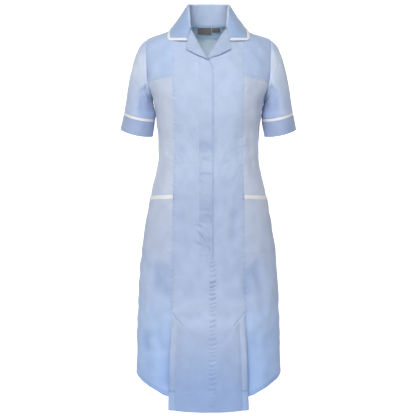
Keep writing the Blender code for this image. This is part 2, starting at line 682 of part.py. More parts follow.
def main():
    remove_scene_objects()
    over = CLOTH + LAYER_GAP
    for side in (-1, 1):
        centre = centre_front_places(side)
        panel(side_name("front_centre", side), drawn_in(centre, low=False))
        if side < 0:
            placket_low = PRINCESS_ROWS.index(POCKET_LOW_Z)
            placket_wide = RIGHT_COLUMNS.index(PLACKET_INNER_X) + 2
            placket = drawn_in(centre[placket_low:-PLACKET_SHORT, :placket_wide], low=False, right=False)
            panel("placket", placket, out=over, thick=PLACKET_THICK)
        plain = drawn_in(side_front_places(side), low=False)
        places, behind = tucked_under(plain, side)
        panel(side_name("front_side", side), places, lift=behind)
        low, middle, top = (PRINCESS_ROWS.index(row) for row in (POCKET_LOW_Z, TRIM_LOW_Z, TRIM_TOP_Z))
        pocket = drawn_in(plain[low : middle + 1], low=False, left=False, right=False)
        panel(side_name("pocket", side), pocket, out=over)
        trim = drawn_in(plain[middle : top + 1], top=False, left=False, right=False)
        panel(side_name("pocket_trim", side), trim, WHITE, out=over, thick=TRIM_THICK)
        panel(side_name("front_yoke", side), drawn_in(yoke_places(side)))
        panel(side_name("back_side", side), drawn_in(side_back_places(side), low=False))
        add_sleeve(side)
        add_lapel(side)
    back = drawn_in(centre_back_places(), low=False)
    panel("back_centre", back)
    inside = SHOULDER_COLUMNS - 1
    panel("back_neck_facing", back[-FACING_ROWS:, inside:-inside], out=-LAYER_GAP - CLOTH)
    add_label("neck_label", LABEL_X, LABEL_Z, LABEL_SIZE, TAUPE)
    add_label("size_label", SIZE_LABEL_X, LABEL_Z, SIZE_LABEL_SIZE, TAUPE)
    add_collar()


main()
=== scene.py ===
"""The looks of the nurse uniform dress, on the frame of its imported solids.

The cloth is cut from the same body form and tables as the solids, in millimetres, then drawn finer, with
seams, topstitching, puckers, folds and creases. The dress faces -Y and +X is the wearer's left.
"""

import math
from collections import namedtuple

import bmesh
import bpy
import numpy as np
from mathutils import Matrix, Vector
from mathutils.bvhtree import BVHTree


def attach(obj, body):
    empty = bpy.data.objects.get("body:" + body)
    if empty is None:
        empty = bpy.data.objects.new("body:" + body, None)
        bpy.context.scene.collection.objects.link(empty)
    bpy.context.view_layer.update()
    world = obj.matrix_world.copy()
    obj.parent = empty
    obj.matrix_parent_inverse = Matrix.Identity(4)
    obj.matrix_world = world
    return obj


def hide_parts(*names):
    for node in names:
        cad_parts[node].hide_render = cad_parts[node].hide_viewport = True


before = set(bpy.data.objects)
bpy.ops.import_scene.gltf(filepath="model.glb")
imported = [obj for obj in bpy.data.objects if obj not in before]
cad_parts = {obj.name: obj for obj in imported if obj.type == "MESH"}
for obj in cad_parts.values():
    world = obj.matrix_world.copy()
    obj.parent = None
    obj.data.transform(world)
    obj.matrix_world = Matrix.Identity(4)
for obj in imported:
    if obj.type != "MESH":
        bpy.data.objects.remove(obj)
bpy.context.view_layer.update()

MM = 0.001
CLOTH = 1.2
LAYER_GAP = 0.4
TRIM_THICK = 2.2

# Main heights
HEM_Z = -1025.0
UNDERARM_Z = -190.0
NECK_Z = 13.0
V_Z = -86.0
PLEAT_TOP_Z = -757.0

# Main widths, from the centre line
NECK_X = 62.0
SHOULDER_SLOPE = 0.39
SHOULDER_TIP_X = 168.0
SHOULDER_TIP_Z = NECK_Z - (SHOULDER_TIP_X - NECK_X) * SHOULDER_SLOPE
V_X = 3.0
CLOSING_X, CLOSING_CURVE = 11.0, 22.0
PLACKET_INNER_X = -25.0
PRINCESS_TOP_X = 93.0
PRINCESS_TOP_Z = NECK_Z - (PRINCESS_TOP_X - NECK_X) * SHOULDER_SLOPE

Ring = namedtuple("Ring", "z half_width front back roundness")
BODY = (
    Ring(30, 17.0, 44, 54, 2.0),
    Ring(NECK_Z, NECK_X, 52, 62, 2.0),
    Ring(-9, 118.4, 72, 77, 1.8),
    Ring(SHOULDER_TIP_Z, SHOULDER_TIP_X, 88, 90, 1.7),
    Ring(-60, 184, 102, 102, 1.9),
    Ring(-100, 183, 115, 108, 2.2),
    Ring(-144, 172, 127, 111, 2.4),
    Ring(UNDERARM_Z, 149.5, 134, 107, 2.5),
    Ring(-231, 143.5, 130, 99, 2.5),
    Ring(-294, 137, 116, 91, 2.5),
    Ring(-327, 136, 111, 90, 2.5),
    Ring(-361, 139, 110, 94, 2.5),
    Ring(-428, 153.5, 112, 107, 2.5),
    Ring(-496, 168, 117, 117, 2.45),
    Ring(-598, 185, 124, 126, 2.4),
    Ring(-719, 196, 134, 134, 2.35),
    Ring(-860, 202, 146, 145, 2.3),
    Ring(HEM_Z, 206, 160, 158, 2.25),
)

Line = namedtuple("Line", "z x")
PRINCESS = (
    Line(PRINCESS_TOP_Z, PRINCESS_TOP_X),
    Line(-124, 92.6),
    Line(-320, 92.0),
    Line(-440, 95.3),
    Line(PLEAT_TOP_Z, 98.5),
    Line(-860, 104.0),
    Line(HEM_Z, 109.5),
)
BACK_PRINCESS = (
    Line(PRINCESS_TOP_Z, PRINCESS_TOP_X),
    Line(-140, 88),
    Line(-327, 72),
    Line(-496, 88),
    Line(HEM_Z, 116),
)
ARMHOLE = (
    Line(SHOULDER_TIP_Z, SHOULDER_TIP_X),
    Line(-60, 166.5),
    Line(-100, 164),
    Line(-141, 160.5),
    Line(-172, 153.5),
    Line(UNDERARM_Z, 149.5),
)
NECKLINE = (
    Line(V_Z, 0),
    Line(-60, 16.5),
    Line(-36, 31),
    Line(-10, 46.5),
    Line(5, 56),
    Line(NECK_Z, NECK_X),
)

# Fullness over the bust, outside the plain rings
BUST_X, BUST_Z = 84.0, -186.0
BUST_RISE, BUST_WIDE, BUST_TALL = 9.0, 46.0, 62.0
BUST_AHEAD = 0.6

# Front hem, and how far the side panels are cut up towards the side seams
CORNER_RISE = 1.5
Hem = namedtuple("Hem", "share z")
SIDE_HEM = (Hem(0.0, -998), Hem(0.18, -982), Hem(0.35, -971), Hem(0.6, -962), Hem(1.0, -958))
BACK_HEM_PRINCESS_Z = -992.0
BACK_HEM_CENTRE_Z = -998.0
BACK_HEM_BEND = 0.5

# Kick pleats: the side panel runs on under the centre panel
PLEAT_UNDERLAY = 34.0
PLEAT_SLANT = 38.0
PLEAT_TUCK, PLEAT_TUCK_FROM, PLEAT_TUCK_TO = 3.4, 4.0, 22.0
PLEAT_HOLLOW = 12.0
PLEAT_HOLLOW_WIDE = 52.0

# Rows of the front panels where they meet the princess seam. The pocket and its trim lie on whole rows
TRIM_TOP_Z, TRIM_LOW_Z, POCKET_LOW_Z = -439.0, -449.5, -599.0
POCKET_RAISE, POCKET_RAISE_SPREAD = 12.0, 60.0
PLACKET_SHORT = 3
YOKE_INNER_Z, YOKE_OUTER_Z = -124.0, -141.0
PRINCESS_ROWS = (
    -998, -950, -890, -835, -785, -757, -728, -690, -645, POCKET_LOW_Z, -550, -500,
    TRIM_LOW_Z, TRIM_TOP_Z, -405, -370, -338, -306, -274, -242, -212, -182, -153, YOKE_INNER_Z,
)
YOKE_ROWS = (YOKE_INNER_Z, -98, -72, -48, -28, -13, -4, -0.2, PRINCESS_TOP_Z)
YOKE_ARM_ROWS = (YOKE_OUTER_Z, -119, -98, -79, -62, -48, -37.5, -31, SHOULDER_TIP_Z)
LOW_ARM_ROWS = (-153, -164, -174, -182, -187.5)
BACK_ARM_ROWS = (-182, -164, -141, -119, -98, -62, -37.5, SHOULDER_TIP_Z)
RIGHT_COLUMNS = (-7.0, PLACKET_INNER_X, -44.0, -NECK_X, -78.0)
LEFT_COLUMNS = (32.0, 47.0, NECK_X, 78.0)
YOKE_COLUMNS, NECK_COLUMNS, SIDE_BACK_COLUMNS, SHOULDER_COLUMNS = 5, 6, 7, 3
BOW_FADE = 5
PLACKET_THICK = 1.0

# Sleeve
Cuff = namedtuple("Cuff", "x z lateral_x lateral_z deep dip")
CUFF_TOP = Cuff(189.3, -231.5, 42.0, 9.3, 61.0, 3.0)
CUFF_HEM = Cuff(198.0, -279.0, 43.5, 10.0, 62.0, 3.5)
SLEEVE_CAP, SLEEVE_FALL = 0.22, 0.40
CAP_LOW, CAP_HIGH, CAP_AHEAD = (0.25, -0.90), (0.85, -0.55), -0.30
SLEEVE_CLEAR, UNDERARM_CLEAR = 1.0, 2.4
UNDERARM_FROM, UNDERARM_TO = 0.55, 0.95
CUFF_THICK = 1.8
PIPING_TALL = 7.0

# Collar, from one front end (turn 0) to the centre back (turn 1), on the wearer's left
Collar = namedtuple("Collar", "turn roll_x roll_y roll_z middle_x middle_y middle_z edge_x edge_y edge_z")
COLLAR = (
    Collar(0.00, 46, -66, 3, 56, -91, -33, 108, -67, -31),
    Collar(0.10, 48, -54, 25, 76, -71, -8, 110, -50, -15.5),
    Collar(0.22, 50, -35, 50, 78, -38, 18, 107.5, -22, -3.5),
    Collar(0.38, 52.5, -2, 67.5, 78.5, -2, 34, 104, 3, 1),
    Collar(0.55, 47, 26, 70.5, 66, 35, 36, 89, 42, 0),
    Collar(0.75, 28, 45, 72.5, 39, 59, 37, 54, 77, -2),
    Collar(1.00, 0, 53, 73.5, 0, 71, 37, 0, 88, -4),
)
COLLAR_SQUARE_TURN = 0.15
SEAM_FRONT_X = 52.5
SIDE_TURN = 0.38
STAND_SHARE, FALL_SHARE, MIDDLE_SHARE = 0.24, 0.40, 0.62
ROLL_RADIUS = 3.0
COLLAR_THICK = 1.4
SEAM_STAND = 0.9

# Lapels. Each one is an outline of four sides on the front, in x and z
LAPEL_CORNER = (58.5, -56.0)
LAPEL_NOTCH = (56.5, -35.5)
LAPEL_ROLL = (Line(-84.5, -2.6), Line(-75, 2.5), Line(-36, 26.0), Line(-0.5, 45.0))
LEFT_LAPEL_ROLL = (
    Line(-80.5, -2.0), Line(-72, -1.5), Line(-55, 8.5), Line(-36, 20.3), Line(-20, 31.0), Line(-0.5, 44.5),
)
LAPEL_BOW, LAPEL_ROWS = 2.5, 8
Lift = namedtuple("Lift", "share height")
LAPEL_LIFT = (
    Lift(0.0, -0.6), Lift(0.05, 2.2), Lift(0.14, 4.8), Lift(0.3, 5.6), Lift(0.6, 4.4), Lift(1.0, 2.6),
)

# What shows inside the back of the neck
FACING_ROWS = 5
LABEL_X, SIZE_LABEL_X, LABEL_Z = -31.0, 10.0, 12.0
LABEL_SIZE = (39.0, 17.5)
SIZE_LABEL_SIZE = (23.0, 11.5)
LABEL_DEPTH, LABEL_THICK = 2.6, 1.0
LABEL_COLUMNS, LABEL_ROWS = 4, 3

# Fine cloth: its drawn thickness, and the sizes of its grids and steps in from an edge
THIN, LAPEL_THIN, LABEL_THIN = 0.8, 1.1, 0.7
CENTRE_GRID, GRID, BACK_GRID, SMALL_GRID = 2.3, 3.0, 4.4, 1.8
SEAM_STEPS = (0, 0.5, 1.1, 1.9, 3.0, 4.4, 5.3, 6.0, 6.7, 8.0)
HEM_STEPS = (0, 0.6, 1.6, 3.2, 6, 10, 14, 18, 22, 26, 30, 34, 38, 42, 46, 50, 52.6, 54, 55.4, 58)
PLAIN_STEPS = (0, 1.5)
LABEL_STEPS = (0, 0.5, 1.2, 1.8)
SMOOTHING = 6
SNAP_REACH = 12.0

# Seams, topstitching and puckers
SEAM_WIDE, SEAM_NEAR = 1.2, 3.0
STITCH_IN, STITCH_DIP, STITCH_WIDE = 6.0, 0.5, 0.9
PUCKER_REACH, PUCKER_PITCH = 8.5, 13.0
HEM_STITCH, HEM_DIP, HEM_WIDE = 54.0, 0.5, 1.5
HEM_CORNER = 22.0
STITCH_PITCH, STITCH_LONG, STITCH_THICK = 3.2, 2.5, 0.22
BAND_WIDE, BAND_PUCKER, BAND_PITCH = 10.0, 2.4, 12.2
# Painted shade in the puckers down the centre front
BAND_PAINTED_SHADE = 0.9
FOLD_IN, FOLD_RISE, FOLD_DIP = 14.0, 2.2, 1.2
# Strengths of painted shade at the skirt's sides, in the troughs of folds, and beside the pleats' pressed
# strips
RIM_PAINTED_SHADE, FOLD_PAINTED_SHADE, FREE_EDGE_PAINTED_SHADE = 0.45, 0.085, 0.3
# Painted shade on the outside of the back's top, against its tone lightened as painted light for the inside
BACK_OUTSIDE_PAINTED_SHADE = 0.6
SLANT_WIDE, SLANT_TALL = 32.5, 35.0
SINK_FROM, SINK_TO = 20.0, 12.0
FACING_STITCH, TRIM_SINK, STAND_SEAM = 3.0, 0.4, 9.0
WAVES = 14

# What an edge of a panel looks like between two heights, and the painted shade along it
Edge = namedtuple(
    "Edge", "dip pucker shade stitched low high", defaults=(0.0, 0.0, 0.0, False, -2000.0, 200.0)
)
PLEAT_SEAM_Z = PLEAT_TOP_Z - 4
SEAM = (Edge(0.55, 0.5, 0.15),)
SIDE_SEAM = (Edge(0.55, 0.3, 0.5),)
PRINCESS_SEAM = (
    Edge(0.45, 1.6, 0.3, low=POCKET_LOW_Z),
    Edge(0.45, 1.8, 0.9, low=PLEAT_SEAM_Z, high=POCKET_LOW_Z),
)
PRINCESS_FOLD = (Edge(0.45, 1.6, 0.25, low=PLEAT_SEAM_Z), Edge(0.2, 0.15, 0.0, high=PLEAT_SEAM_Z))
CLOSING = (Edge(0.3, 0.1, 0.15, high=POCKET_LOW_Z - 6), Edge(0.8, 0.1, 0.9, low=POCKET_LOW_Z - 6))
STITCHED = (Edge(0.6, 0.35, 0.2, True),)
HEM = (Edge(0.4, 0.15, 0.4),)
NARROW_HEM = (Edge(0.9, 0.25, 0.9, True),)
PLACKET_EDGES = ((Edge(0.0, 0.3, 0.1, True),), (Edge(0.7, 0.5, 0.12, True),), (Edge(0.6, 0.3, 0.3, True),))
POCKET_EDGES = ((Edge(0.5, 2.2, 0.2),), (Edge(0.7, 0.3, 0.5),), (Edge(0.2, 0.3, 0.05, True),))
PLAIN = (Edge(),)

# Folds and creases between two points of the front or back: ridges above 0 and troughs below
Fold = namedtuple("Fold", "x0 z0 x1 z1 width height")
BOTH_SIDES = (
    Fold(88, -160, 34, -171, 10, 1.6),
    Fold(84, -182, 30, -176, 9, -1.3),
    Fold(86, -212, 36, -226, 11, 1.4),
    Fold(86, -246, 40, -262, 12, 1.2),
    Fold(74, -352, 50, -326, 7, 1.6),
    Fold(84, -340, 60, -312, 8, -1.5),
    Fold(66, -392, 46, -360, 8, 1.4),
    Fold(86, -428, 52, -452, 13, 1.9),
    Fold(84, -402, 40, -424, 12, -1.7),
    Fold(80, -470, 58, -560, 14, -2.0),
    Fold(58, -480, 44, -600, 12, 1.7),
    Fold(88, -600, 70, -660, 12, -1.4),
    Fold(96, -758, 18, -722, 13, 2.6),
    Fold(94, -730, 26, -682, 14, -2.2),
    Fold(88, -776, 22, -806, 14, 2.4),
    Fold(66, -768, 16, -756, 11, -1.9),
    Fold(60, -798, 30, -846, 10, -2.0),
    Fold(66, -850, 58, -1000, 14, -2.0),
    Fold(36, -860, 34, -1010, 13, 1.9),
    Fold(108, -722, 160, -788, 11, 5.0),
    Fold(172, -672, 162, -796, 11, 5.0),
    Fold(136, -610, 142, -720, 13, -4.6),
    Fold(113, -618, 110, -722, 18, -5.6),
    Fold(130, -800, 126, -868, 13, -3.8),
    Fold(172, -812, 160, -880, 18, -5.0),
    Fold(148, -830, 150, -950, 15, 3.2),
    Fold(190, -700, 192, -900, 10, -1.4),
    Fold(112, -900, 118, -978, 10, -1.5),
    Fold(108, -520, 150, -560, 14, 1.4),
    Fold(120, -470, 124, -590, 9, -1.2),
    Fold(146, -232, 104, -214, 12, 1.7),
    Fold(138, -262, 104, -292, 12, -1.4),
    Fold(132, -322, 104, -346, 10, 1.4),
    Fold(136, -352, 112, -400, 11, -1.3),
    Fold(150, -180, 120, -152, 9, 1.4),
    Fold(104, -60, 150, -112, 12, 1.2),
    Fold(130, -50, 110, -108, 12, -1.1),
)
CENTRE_FOLDS = (
    Fold(-24, -262, 8, -266, 6, -1.1),
    Fold(-24, -306, 8, -312, 10, -2.6),
    Fold(-22, -334, 8, -330, 6, 1.6),
    Fold(-20, -346, 6, -348, 3.5, -1.3),
    Fold(-24, -382, 8, -383, 3.0, -2.6),
    Fold(-22, -396, 8, -402, 6, 1.4),
    Fold(-12, -440, 8, -446, 4, -1.3),
    Fold(-26, -480, 10, -481, 3.4, -2.8),
    Fold(-16, -494, 9, -497, 3.2, -2.6),
    Fold(-26, -505, 8, -509, 4.0, 1.8),
    Fold(-33, -516, -10, -530, 3.4, -3.4),
    Fold(-34, -527, -12, -545, 3.2, 3.0),
    Fold(-31, -537, -5, -568, 3.2, -3.8),
    Fold(-32, -553, -12, -580, 3.2, 3.0),
    Fold(-38, -566, -14, -574, 3.2, -3.2),
    Fold(-12, -524, 6, -544, 3.2, 2.6),
    Fold(-10, -547, 8, -566, 3.2, -3.0),
    Fold(-8, -573, 8, -588, 3.2, -2.8),
    Fold(-40, -600, -24, -640, 7, 1.4),
    Fold(30, -600, 44, -650, 9, 1.4),
    Fold(-56, -470, -52, -560, 8, 1.2),
    Fold(60, -100, 66, -170, 14, -0.9),
    Fold(-48, -110, -40, -180, 14, 0.9),
    Fold(20, -990, 16, -1024, 6, -1.2),
    Fold(-24, -960, 14, -972, 9, -1.0),
)
BACK_FOLDS = (
    Fold(-70, -150, 60, -172, 15, 1.6),
    Fold(-96, -220, 90, -196, 13, -1.4),
    Fold(-100, -300, 96, -318, 13, 2.0),
    Fold(-90, -336, 104, -330, 11, -2.0),
    Fold(-98, -366, 84, -354, 12, 1.7),
    Fold(-60, -392, 70, -400, 14, -1.3),
    Fold(-120, -440, -60, -520, 18, 1.8),
    Fold(116, -430, 66, -540, 17, 1.9),
    Fold(-80, -560, -104, -860, 24, 3.0),
    Fold(88, -580, 112, -880, 22, 3.1),
    Fold(-20, -600, -34, -960, 26, -3.4),
    Fold(34, -640, 48, -990, 22, 2.5),
    Fold(4, -700, -2, -980, 18, 2.0),
    Fold(150, -600, 160, -930, 24, -2.6),
    Fold(-146, -620, -156, -930, 24, -2.7),
    Fold(140, -120, 104, -70, 15, 1.4),
    Fold(-136, -116, -108, -64, 14, 1.5),
    Fold(20, -60, -30, -110, 16, 1.0),
)
FOLD_BEND, FOLD_SHIFT = 0.35, 4.0

# Patches of painted shade on the placket, by height
Patch = namedtuple("Patch", "z tall shade")
PLACKET_SHADE_PATCHES = (
    Patch(-250, 16, 0.15), Patch(-311, 20, 0.5), Patch(-383, 5, 0.35), Patch(-470, 22, 0.35),
    Patch(-500, 12, 0.45), Patch(-560, 22, 0.3),
)

# Soft unevenness of the body: its pitch and height, and the waist's finer creasing
UNEVEN_PITCH, UNEVEN_HIGH = 44.0, 0.8
CREASE_PITCH, CREASE_HIGH, WAIST_CREASE = 19.0, 0.16, 0.18
WAIST_Z, WAIST_TALL, BODY_ROUND = -345.0, 75.0, 150.0

# Folds of the sleeve: turns round it, from 0 at the outer side past 0.25 in front to 0.5, and shares down it
SleeveFold = namedtuple("SleeveFold", "turn0 share0 turn1 share1 width height")
SLEEVE_FOLDS = (
    SleeveFold(0.46, 0.30, 0.27, 0.46, 9, 1.8),
    SleeveFold(0.27, 0.46, 0.23, 0.86, 9, 2.0),
    SleeveFold(0.38, 0.12, 0.22, 0.30, 9, -1.2),
    SleeveFold(0.30, 0.10, 0.14, 0.42, 10, 1.3),
    SleeveFold(0.12, 0.35, 0.06, 0.85, 12, 1.5),
    SleeveFold(0.60, 0.36, 0.84, 0.82, 11, 2.5),
    SleeveFold(0.58, 0.50, 0.80, 0.97, 12, -2.3),
    SleeveFold(0.66, 0.12, 0.80, 0.34, 10, -1.2),
    SleeveFold(0.93, 0.40, 0.97, 0.90, 12, 1.3),
    SleeveFold(0.02, 0.06, 0.05, 0.30, 9, 1.1),
)
SLEEVE_ROUND, SLEEVE_LONG = 330.0, 190.0
SLEEVE_FINE, SLEEVE_ROWS = 150, 44
SLEEVE_HEAD = (0, 0.003, 0.007, 0.012, 0.02, 0.032, 0.045)
SLEEVE_TAIL = (0.955, 0.968, 0.98, 0.988, 0.993, 0.997, 1.0)
TUCK_X, TUCK_Z, TUCK_SLOPE, TUCK_SOFT = 165.0, -139.0, 0.65, 18.0
# The width and depth of the tuck, and the painted shade where the sleeve turns under by the body
TUCK_WIDE, TUCKED_UNDER, TUCKED_PAINTED_SHADE = 33.0, 6.0, 0.6
BAND_RIM = (0, 0.3, 0.8, 1.6)

# Collar, its binding and the lapels
FRONT_TURNS = (0, 0.003, 0.007, 0.012, 0.018, 0.026, 0.036, 0.048)
# Painted shade over the collar's fall
FALL_PAINTED_SHADE = 0.8
FALL_SHARES = (0.95, 0.967, 0.98, 0.99, 0.996, 1.0)
CORNER_ROUND = 9.0
LEFT_TUCK = 2.6
LAPEL_CURL = 1.6
BINDING_WIDE, BINDING_THICK, BINDING_STEP = 8.0, 1.5, 2.0
BINDING = (
    (1.0, 0.4), (0.97, 0.75), (0.85, 0.95), (0.6, 1.0), (0.3, 0.95), (0.1, 0.7),
    (-0.03, 0.0), (0.1, -0.7), (0.3, -0.95), (0.6, -1.0), (0.85, -0.95), (1.0, -0.75),
)

# Cloth colours by height in metres. Where a piece's tones change with height, the change is painted light and
# shade, mostly darker towards the hem.
Tone = namedtuple("Tone", "z colour")
CENTRE_TONES = (
    Tone(-0.36, (0.47, 0.56, 0.75)), Tone(-0.45, (0.42, 0.50, 0.69)), Tone(-0.60, (0.42, 0.505, 0.70)),
    Tone(-0.80, (0.47, 0.555, 0.75)), Tone(-0.98, (0.355, 0.46, 0.69)),
)
SIDE_TONES = (
    Tone(-0.42, (0.54, 0.60, 0.75)), Tone(-0.56, (0.48, 0.55, 0.73)), Tone(-0.70, (0.44, 0.53, 0.74)),
    Tone(-0.79, (0.43, 0.56, 0.83)),
    Tone(-0.95, (0.375, 0.51, 0.82)),
)
# The top of the back is lightened as painted light, for its inside that shows through the neck.
BACK_TONES = (
    Tone(-0.06, (0.66, 0.83, 1.0)), Tone(-0.20, (0.47, 0.57, 0.77)), Tone(-0.98, (0.35, 0.45, 0.68)),
)
SLEEVE_TONES = (
    Tone(-0.035, (0.51, 0.60, 0.80)), Tone(-0.085, (0.58, 0.65, 0.80)), Tone(-0.20, (0.46, 0.54, 0.73)),
)
YOKE_TONES = (Tone(0.0, (0.44, 0.545, 0.77)),)
CUFF_TONES = (Tone(0.0, (0.34, 0.42, 0.60)),)
COLLAR_TONES = (Tone(0.0, (0.505, 0.61, 0.79)),)
LAPEL_TONES = (Tone(0.0, (0.42, 0.50, 0.66)),)
# The facing inside the neck is lightened and made bluer as painted light, for the bounced light in there.
INSIDE_TONES = (Tone(0.0, (0.52, 0.75, 1.0)),)
WHITE = (Tone(0.0, (0.80, 0.79, 0.79)),)
TAUPE = (Tone(0.0, (0.24, 0.225, 0.21)),)
THREAD_BLUE = (Tone(0.0, (0.50, 0.60, 0.80)),)
# The colour that painted shade mixes the cloth towards
PAINTED_SHADE_COLOUR = (0.60, 0.68, 0.81)
SHEER, SHEER_DEEP = 0.35, 0.003
THREADS, WEAVE_DEEP = 520.0, 0.0001

# Studio
CAMERA_AT = (-0.0014, -2.3766, -0.1546)
CAMERA_DOWN = math.radians(8.0)
CAMERA_LENS, CAMERA_SENSOR = 74.18, 36.0
SKY, SKY_STRENGTH = (0.94, 0.97, 1.0), 0.18
AIM = (0, 0, -0.35)
KEY_AT, KEY_SIZE, KEY_WATTS = (-0.8, -3.0, 2.1), 1.3, 98.0
FILL_AT, FILL_SIZE, FILL_WATTS = (0.25, -2.3, 0.25), 1.2, 14.0
FLOOR_Z, FLOOR_WIDE = -1.42, 8.0
FLOOR_PROFILE = ((-6.0, 0.0), (3.0, 0.0), (3.6, 0.06), (4.1, 0.25), (4.5, 0.6), (4.7, 1.1), (4.8, 6.0))
GLOW_FROM, GLOW_TO, BACKDROP_GLOW = -0.4, 0.7, 0.75

# The cut of each piece: the rectangle that holds it in metres, its area in square metres, and how it is held
Cut = namedtuple("Cut", "width length area held")


def smooth(rows, column, along="z"):
    """A smooth curve through a table's values, without overshoot, as a function of its first column."""
    pairs = sorted((getattr(row, along), getattr(row, column)) for row in rows)
    x, y = np.array(pairs, float).T
    step, slope = np.diff(x), np.diff(y) / np.diff(x)
    turn = np.zeros_like(y)
    turn[0], turn[-1] = slope[0], slope[-1]
    same = slope[:-1] * slope[1:] > 0
    before, after = 2 * step[1:] + step[:-1], step[1:] + 2 * step[:-1]
    with np.errstate(divide="ignore", invalid="ignore"):
        mean = (before + after) / (before / slope[:-1] + after / slope[1:])
    turn[1:-1] = np.where(same, mean, 0.0)

    def at(value):
        value = np.clip(value, x[0], x[-1])
        i = np.clip(np.searchsorted(x, value) - 1, 0, len(step) - 1)
        t = (value - x[i]) / step[i]
        return (
            y[i] * (1 + 2 * t) * (1 - t) ** 2
            + turn[i] * step[i] * t * (1 - t) ** 2
            + y[i + 1] * t * t * (3 - 2 * t)
            + turn[i + 1] * step[i] * t * t * (t - 1)
        )

    return at


half_width = smooth(BODY, "half_width")
front_depth = smooth(BODY, "front")
back_depth = smooth(BODY, "back")
roundness = smooth(BODY, "roundness")
princess_x = smooth(PRINCESS, "x")
back_princess_x = smooth(BACK_PRINCESS, "x")
armhole_x = smooth(ARMHOLE, "x")
neckline_z = smooth(NECKLINE, "z", along="x")
side_hem_z = smooth(SIDE_HEM, "z", along="share")


def ramp(value, start, end):
    """0 at start and 1 at end, with soft ends."""
    t = np.clip((value - start) / (end - start), 0, 1)
    return t * t * (3 - 2 * t)


def turn_of(x, z, back=False):
    """The turn of the point of the form at x, seen from the front or the back."""
    depth = back_depth(z) if back else front_depth(z)
    power = roundness(z)
    share = np.clip(np.abs(x) / half_width(z), 0, 1)
    deep = depth * (1 - share**power) ** (1 / power)
    turn = np.arctan2(np.abs(x), deep)
    turn = math.pi - turn if back else turn
    return np.copysign(turn, x)


def form(turn, z):
    """The point of the bare form, as an array whose last axis is x, y and z."""
    turn, z = np.broadcast_arrays(np.asarray(turn, float), np.asarray(z, float))
    side, ahead = np.sin(turn), np.cos(turn)
    depth = np.where(ahead > 0, front_depth(z), back_depth(z))
    power = roundness(z)
    reach = ((np.abs(side) / half_width(z)) ** power + (np.abs(ahead) / depth) ** power) ** (-1 / power)
    x, y = reach * side, -reach * ahead
    bust = BUST_RISE * np.exp(-(((np.abs(x) - BUST_X) / BUST_WIDE) ** 2) - ((z - BUST_Z) / BUST_TALL) ** 2)
    return np.stack([x, y - bust * ramp(ahead, 0.0, BUST_AHEAD), z], axis=-1)


def unit(vectors):
    return vectors / np.linalg.norm(vectors, axis=-1, keepdims=True)


def normal(turn, z):
    """Which way is out of the form, at each point."""
    small_turn, small_z = 0.004, 0.4
    across = form(turn + small_turn, z) - form(turn - small_turn, z)
    up = form(turn, z + small_z) - form(turn, z - small_z)
    return unit(np.cross(across, up))


def on_form(turn, z, out=0.0):
    """Points of the form, moved out by so many millimetres."""
    return form(turn, z) + normal(turn, z) * np.asarray(out, float)[..., None]


def between_edges(left, right, low, top, shares=None, fade=1):
    """A sheet of (turn, z) places between four edges. left and right run up, low and top run right.

    The rows are straight but for the bows of the low and top edges, which die out sooner with more fade.
    """
    u = np.linspace(0, 1, len(low)) if shares is None else shares
    u = u[None, :, None]
    v = np.linspace(0, 1, len(left))[:, None, None]
    rows = (1 - u) * left[:, None] + u * right[:, None]
    low_bow = low - rows[0]
    top_bow = top - rows[-1]
    return rows + (1 - v) ** fade * low_bow + v**fade * top_bow


def shoulder_z(x):
    return NECK_Z - (np.abs(x) - NECK_X) * SHOULDER_SLOPE


def places_of(turns, heights):
    return np.stack(np.broadcast_arrays(np.asarray(turns, float), np.asarray(heights, float)), axis=-1)


def closing_x(z):
    """The closing edge runs at one distance from the centre, and curves in to the V."""
    return CLOSING_X + (V_X - CLOSING_X) * ramp(z, V_Z - CLOSING_CURVE, V_Z)


def centre_front_places(side):
    """A centre front panel, from the closing edge to the princess seam. The right one passes the centre."""
    seam_rows = np.array((HEM_Z + CORNER_RISE, *PRINCESS_ROWS[1:], *YOKE_ROWS[1:]))
    share = (seam_rows - seam_rows[0]) / (seam_rows[-1] - seam_rows[0])

    def heights(low, top):
        bow = (low - seam_rows[0]) * (1 - share) ** BOW_FADE + (top - seam_rows[-1]) * share**BOW_FADE
        return seam_rows + bow

    closing = heights(HEM_Z, V_Z)
    columns = [places_of(turn_of(closing_x(closing), closing), closing)]
    for x in LEFT_COLUMNS if side > 0 else RIGHT_COLUMNS:
        top = shoulder_z(x) if abs(x) >= NECK_X else float(neckline_z(abs(x)))
        low = HEM_Z + CORNER_RISE * (x / PRINCESS[-1].x) ** 2
        z = heights(low, top)
        columns.append(places_of(turn_of(np.full_like(z, x), z), z))
    columns.append(places_of(side * turn_of(princess_x(seam_rows), seam_rows), seam_rows))
    return np.stack(columns, axis=1)


def side_seam_rows():
    """Heights of the rows at the side seam, from the hem to the underarm."""
    rows = np.array(PRINCESS_ROWS, float)
    share = (rows - rows[0]) / (rows[-1] - rows[0])
    heights = SIDE_HEM[-1].z + share * (UNDERARM_Z - SIDE_HEM[-1].z)
    return heights + POCKET_RAISE * np.exp(-(((rows - TRIM_TOP_Z) / POCKET_RAISE_SPREAD) ** 2))


def yoke_seam():
    """The seam across the front below the shoulder, from the princess seam to the armhole."""
    inner = (float(turn_of(princess_x(YOKE_INNER_Z), YOKE_INNER_Z)), YOKE_INNER_Z)
    outer = (float(turn_of(armhole_x(YOKE_OUTER_Z), YOKE_OUTER_Z)), YOKE_OUTER_Z)
    return np.linspace(inner, outer, YOKE_COLUMNS)


